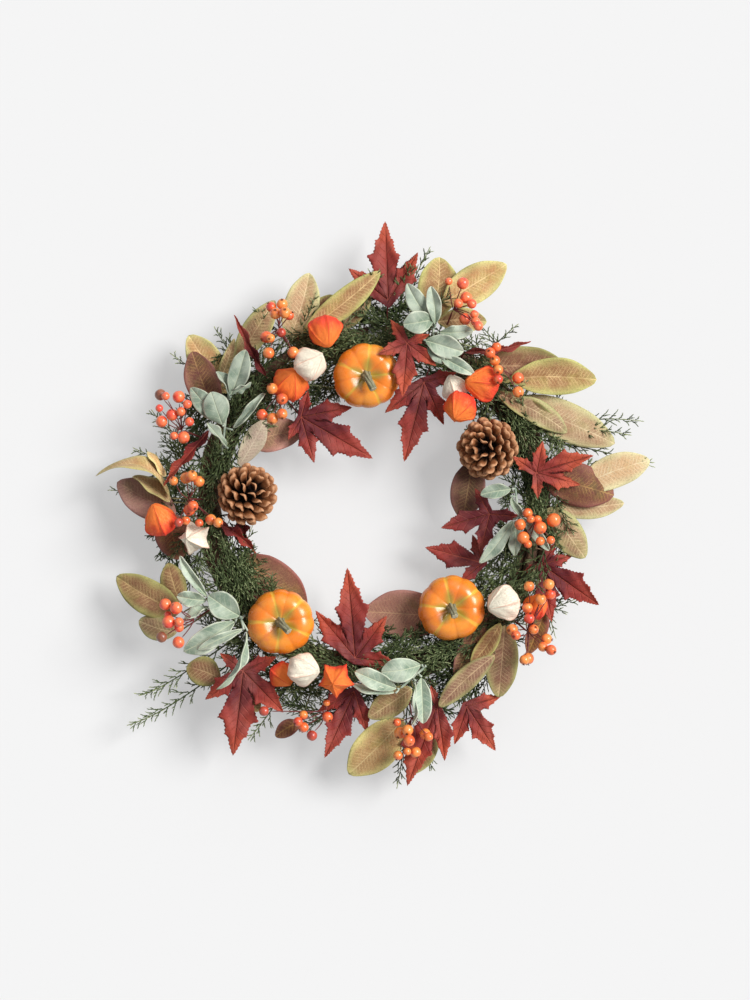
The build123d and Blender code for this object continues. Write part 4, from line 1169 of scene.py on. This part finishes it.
for name, (arc_start, arc_end) in cover_arcs.items():
    lines = []
    for points in solids_of(f"cedar_{name}"):
        flat = points - hoop_middle
        ring = np.abs(np.hypot(flat[:, 0], flat[:, 2]) - hoop_radius) + np.abs(flat[:, 1])
        root = points[np.argmin(ring)]
        tip = points[np.argmax(np.linalg.norm(points - root, axis=1))]
        side = unit(np.cross(tip - root, (0, -1, 0)))
        bow = (points.mean(0) - (root + tip) / 2) * 0.8
        lines.append((root, tip, bow, np.abs((points - root) @ side).max() * 0.8, cad_spacing))
    dress(cedar_piece(f"cedar_sprigs_{name}", lines), "cedar_needle", f"cedar_{name}")
    spots = [(degree, rng.uniform(-0.024, 0.034)) for degree in np.arange(arc_start, arc_end, 1.5)]
    spots += [(degree, rng.uniform(-0.010, 0.010)) for degree in np.arange(arc_start, arc_end, 3.0)]
    if name == "top":
        spots += [(strap_angle + turn, 0.003 * turn) for turn in (-3, -2, -1, 0, 1, 2, 3)]
    depths = [(0.0185, 0.026) if abs(off) < cover_edge else (0.006, 0.014 if off > 0 else 0.022) for _, off in spots]
    spots = [(*spot, rng.uniform(*depth), 1.0) for spot, depth in zip(spots, depths)]
    for first, last, inner, outer, forward in thickets[name]:
        # Painted shade: patches set further back get darker needles, as shade deep in the wreath.
        pale = 0.6 if forward < 0.015 else 0.95
        for degree in np.arange(first, last, 1.4):
            spots.append((degree, rng.uniform(inner, outer), forward + rng.uniform(-0.006, 0.006), pale))
    lines = []
    for degree, off, depth, pale in spots:
        angle = radians(degree + rng.uniform(-1, 1))
        outward = np.array((cos(angle), 0, sin(angle)))
        onward = np.array((-sin(angle), 0, cos(angle))) * rng.choice((-1, 1))
        slant = radians(rng.uniform(-30, 30) + splay * min(off, splay_limit))
        root = hoop_middle + outward * (hoop_radius + off) + np.array((0, -depth, 0))
        heading = onward * cos(slant) + outward * sin(slant)
        length = rng.uniform(0.032, 0.054) if pale == 1 else rng.uniform(0.022, 0.036)
        tip = root + heading * length + np.array((0, -rng.uniform(-0.004, 0.004), 0))
        back = heading * (length / 2 if pale < 1 else 0)
        bow = np.array((0, -0.003, 0)) + outward * rng.uniform(-0.004, 0.004)
        lines.append((root - back, tip - back, bow, rng.uniform(0.009, 0.014), cover_spacing, pale))
    for kind in ("cover", "thicket"):
        chosen = [line for line in lines if (line[-1] == 1) == (kind == "cover")]
        dress(cedar_piece(f"cedar_{kind}_{name}", chosen), "cedar_needle", f"cedar_{name}")

# ---- berries ----
# Glossy berries on thin stalks: smooth coral-red ones, and little crab-apples, orange with a red
# blush and a dark, ragged crown opposite the stalk.
def berry_form(centre, axis, radius, dented):
    """A berry whose pole at v = 0 is its crown end."""

    def form(u, v):
        fall = v * pi
        rise = radius * np.cos(fall) * (1 - dented * np.exp(-((np.sin(fall) / 0.3) ** 2)))
        reach = radius * np.sin(fall) ** 0.94
        return ringed(centre + np.outer(rise, axis), reach, u * tau, beside(axis, (0.2, 0.3, 1)))

    return formed_sheet("berry", 20, 14, form, close=True)


gloss = Paint("berry_skin")
blushed = gloss.rise(gloss.cloud(110, 3), 0.42, 0.66)
skin = gloss.mix(blushed, gloss.read("body", "Color"), gloss.read("blush", "Color"))
skin = gloss.wash(skin, "#7a3020", gloss.cloth()[1], 0.10, 0.02, 0.7)
skin = gloss.wash(skin, "#ffd9a8", gloss.cloud(900, 2), 0.66, 0.74, 0.3)
gloss.surface(gloss.cloud(500), 0.00008, base_color=skin, roughness=0.3, coat_weight=0.3, coat_roughness=0.15)
crown_dark = plain("berry_crown", (900,), (400,), "#4a2a20", "#7a4630", roughness=0.8)

# Body and blush; a and b are the crab-apples.
berry_tones = {
    "c": ("#fe7e4c", "#f4503e"), "o": ("#f8803a", "#ee5c30"), "a": ("#f99547", "#ea6432"),
    "b": ("#f47038", "#dc4432"), "d": ("#c44c36", "#9e3029"), "n": ("#9c5a3c", "#7c4030"),
}
# The tone of each berry, in the order of its CAD node.
berry_letters = {
    "upper_left": "nccccccccccc", "top_left": "baaabbadaa", "inner_left": "abbaa", "top_right": "cccccccc",
    "right": "bbaabbaa", "left": "aaaabbdabaa", "lower_left": "ccccccnc", "lower_right": "oooooooooo",
    "bottom_right": "aabaababaaabaab", "bottom": "aaobaoaaa", "bottom_left": "abbdbad",
}
for name, letters in berry_letters.items():
    solids = solids_of(f"berries_{name}")
    first, last = ends_of(solids[0])
    root, meet = (first, last) if np.abs(first - hoop_middle)[1] < np.abs(last - hoop_middle)[1] else (last, first)
    main = stalk("berry_stem", root, meet, 0.0009, 0.0009)
    main.data.materials.append(red_stalk)
    pieces, crowns = [main], []
    for index, (points, stalk_points) in enumerate(zip(solids[1::2], solids[2::2])):
        centre = (points.max(0) + points.min(0)) / 2
        radius = (points.max(0) - points.min(0)).mean() / 2
        axis = unit(centre - meet + rng.uniform(-0.3, 0.3, 3) * np.linalg.norm(centre - meet))
        letter = letters[index % len(letters)]
        crab = letter in "ab"
        berry = berry_form(centre, axis, radius, 0.12 if crab else 0.04)
        tint(berry, body=berry_tones[letter][0], blush=berry_tones[letter][1])
        berry.data.materials.append(gloss.material)
        bow = rng.uniform(-0.002, 0.002, 3)
        thin = stalk("berry_stalk", meet, centre - unit(centre - meet) * radius * 0.97, 0.0006, 0.0005, bow)
        thin.data.materials.append(red_stalk)
        pieces += [berry, thin]
        if crab:
            side, over = beside(axis, (0.2, 0.3, 1))
            for spike in range(6):
                out = side * cos(spike * tau / 6) + over * sin(spike * tau / 6)
                along = unit(axis + out * 0.75)
                across = unit(np.cross(along, out))
                up = np.cross(along, across)
                frame = np.stack([across * 0.0009, up * 0.0007, along * radius * 0.42], 1)
                crowns.append((frame, centre + axis * radius * 0.86 + out * radius * 0.06))
    if crowns:
        frames, places = (np.array(part) for part in zip(*crowns))
        crown = copies("crowns", (needle_points, needle_faces), frames, places, {})
        crown.data.materials.append(crown_dark)
        pieces.append(crown)
    dress(join(f"berry_spray_{name}", pieces), "berry_skin", f"berries_{name}")
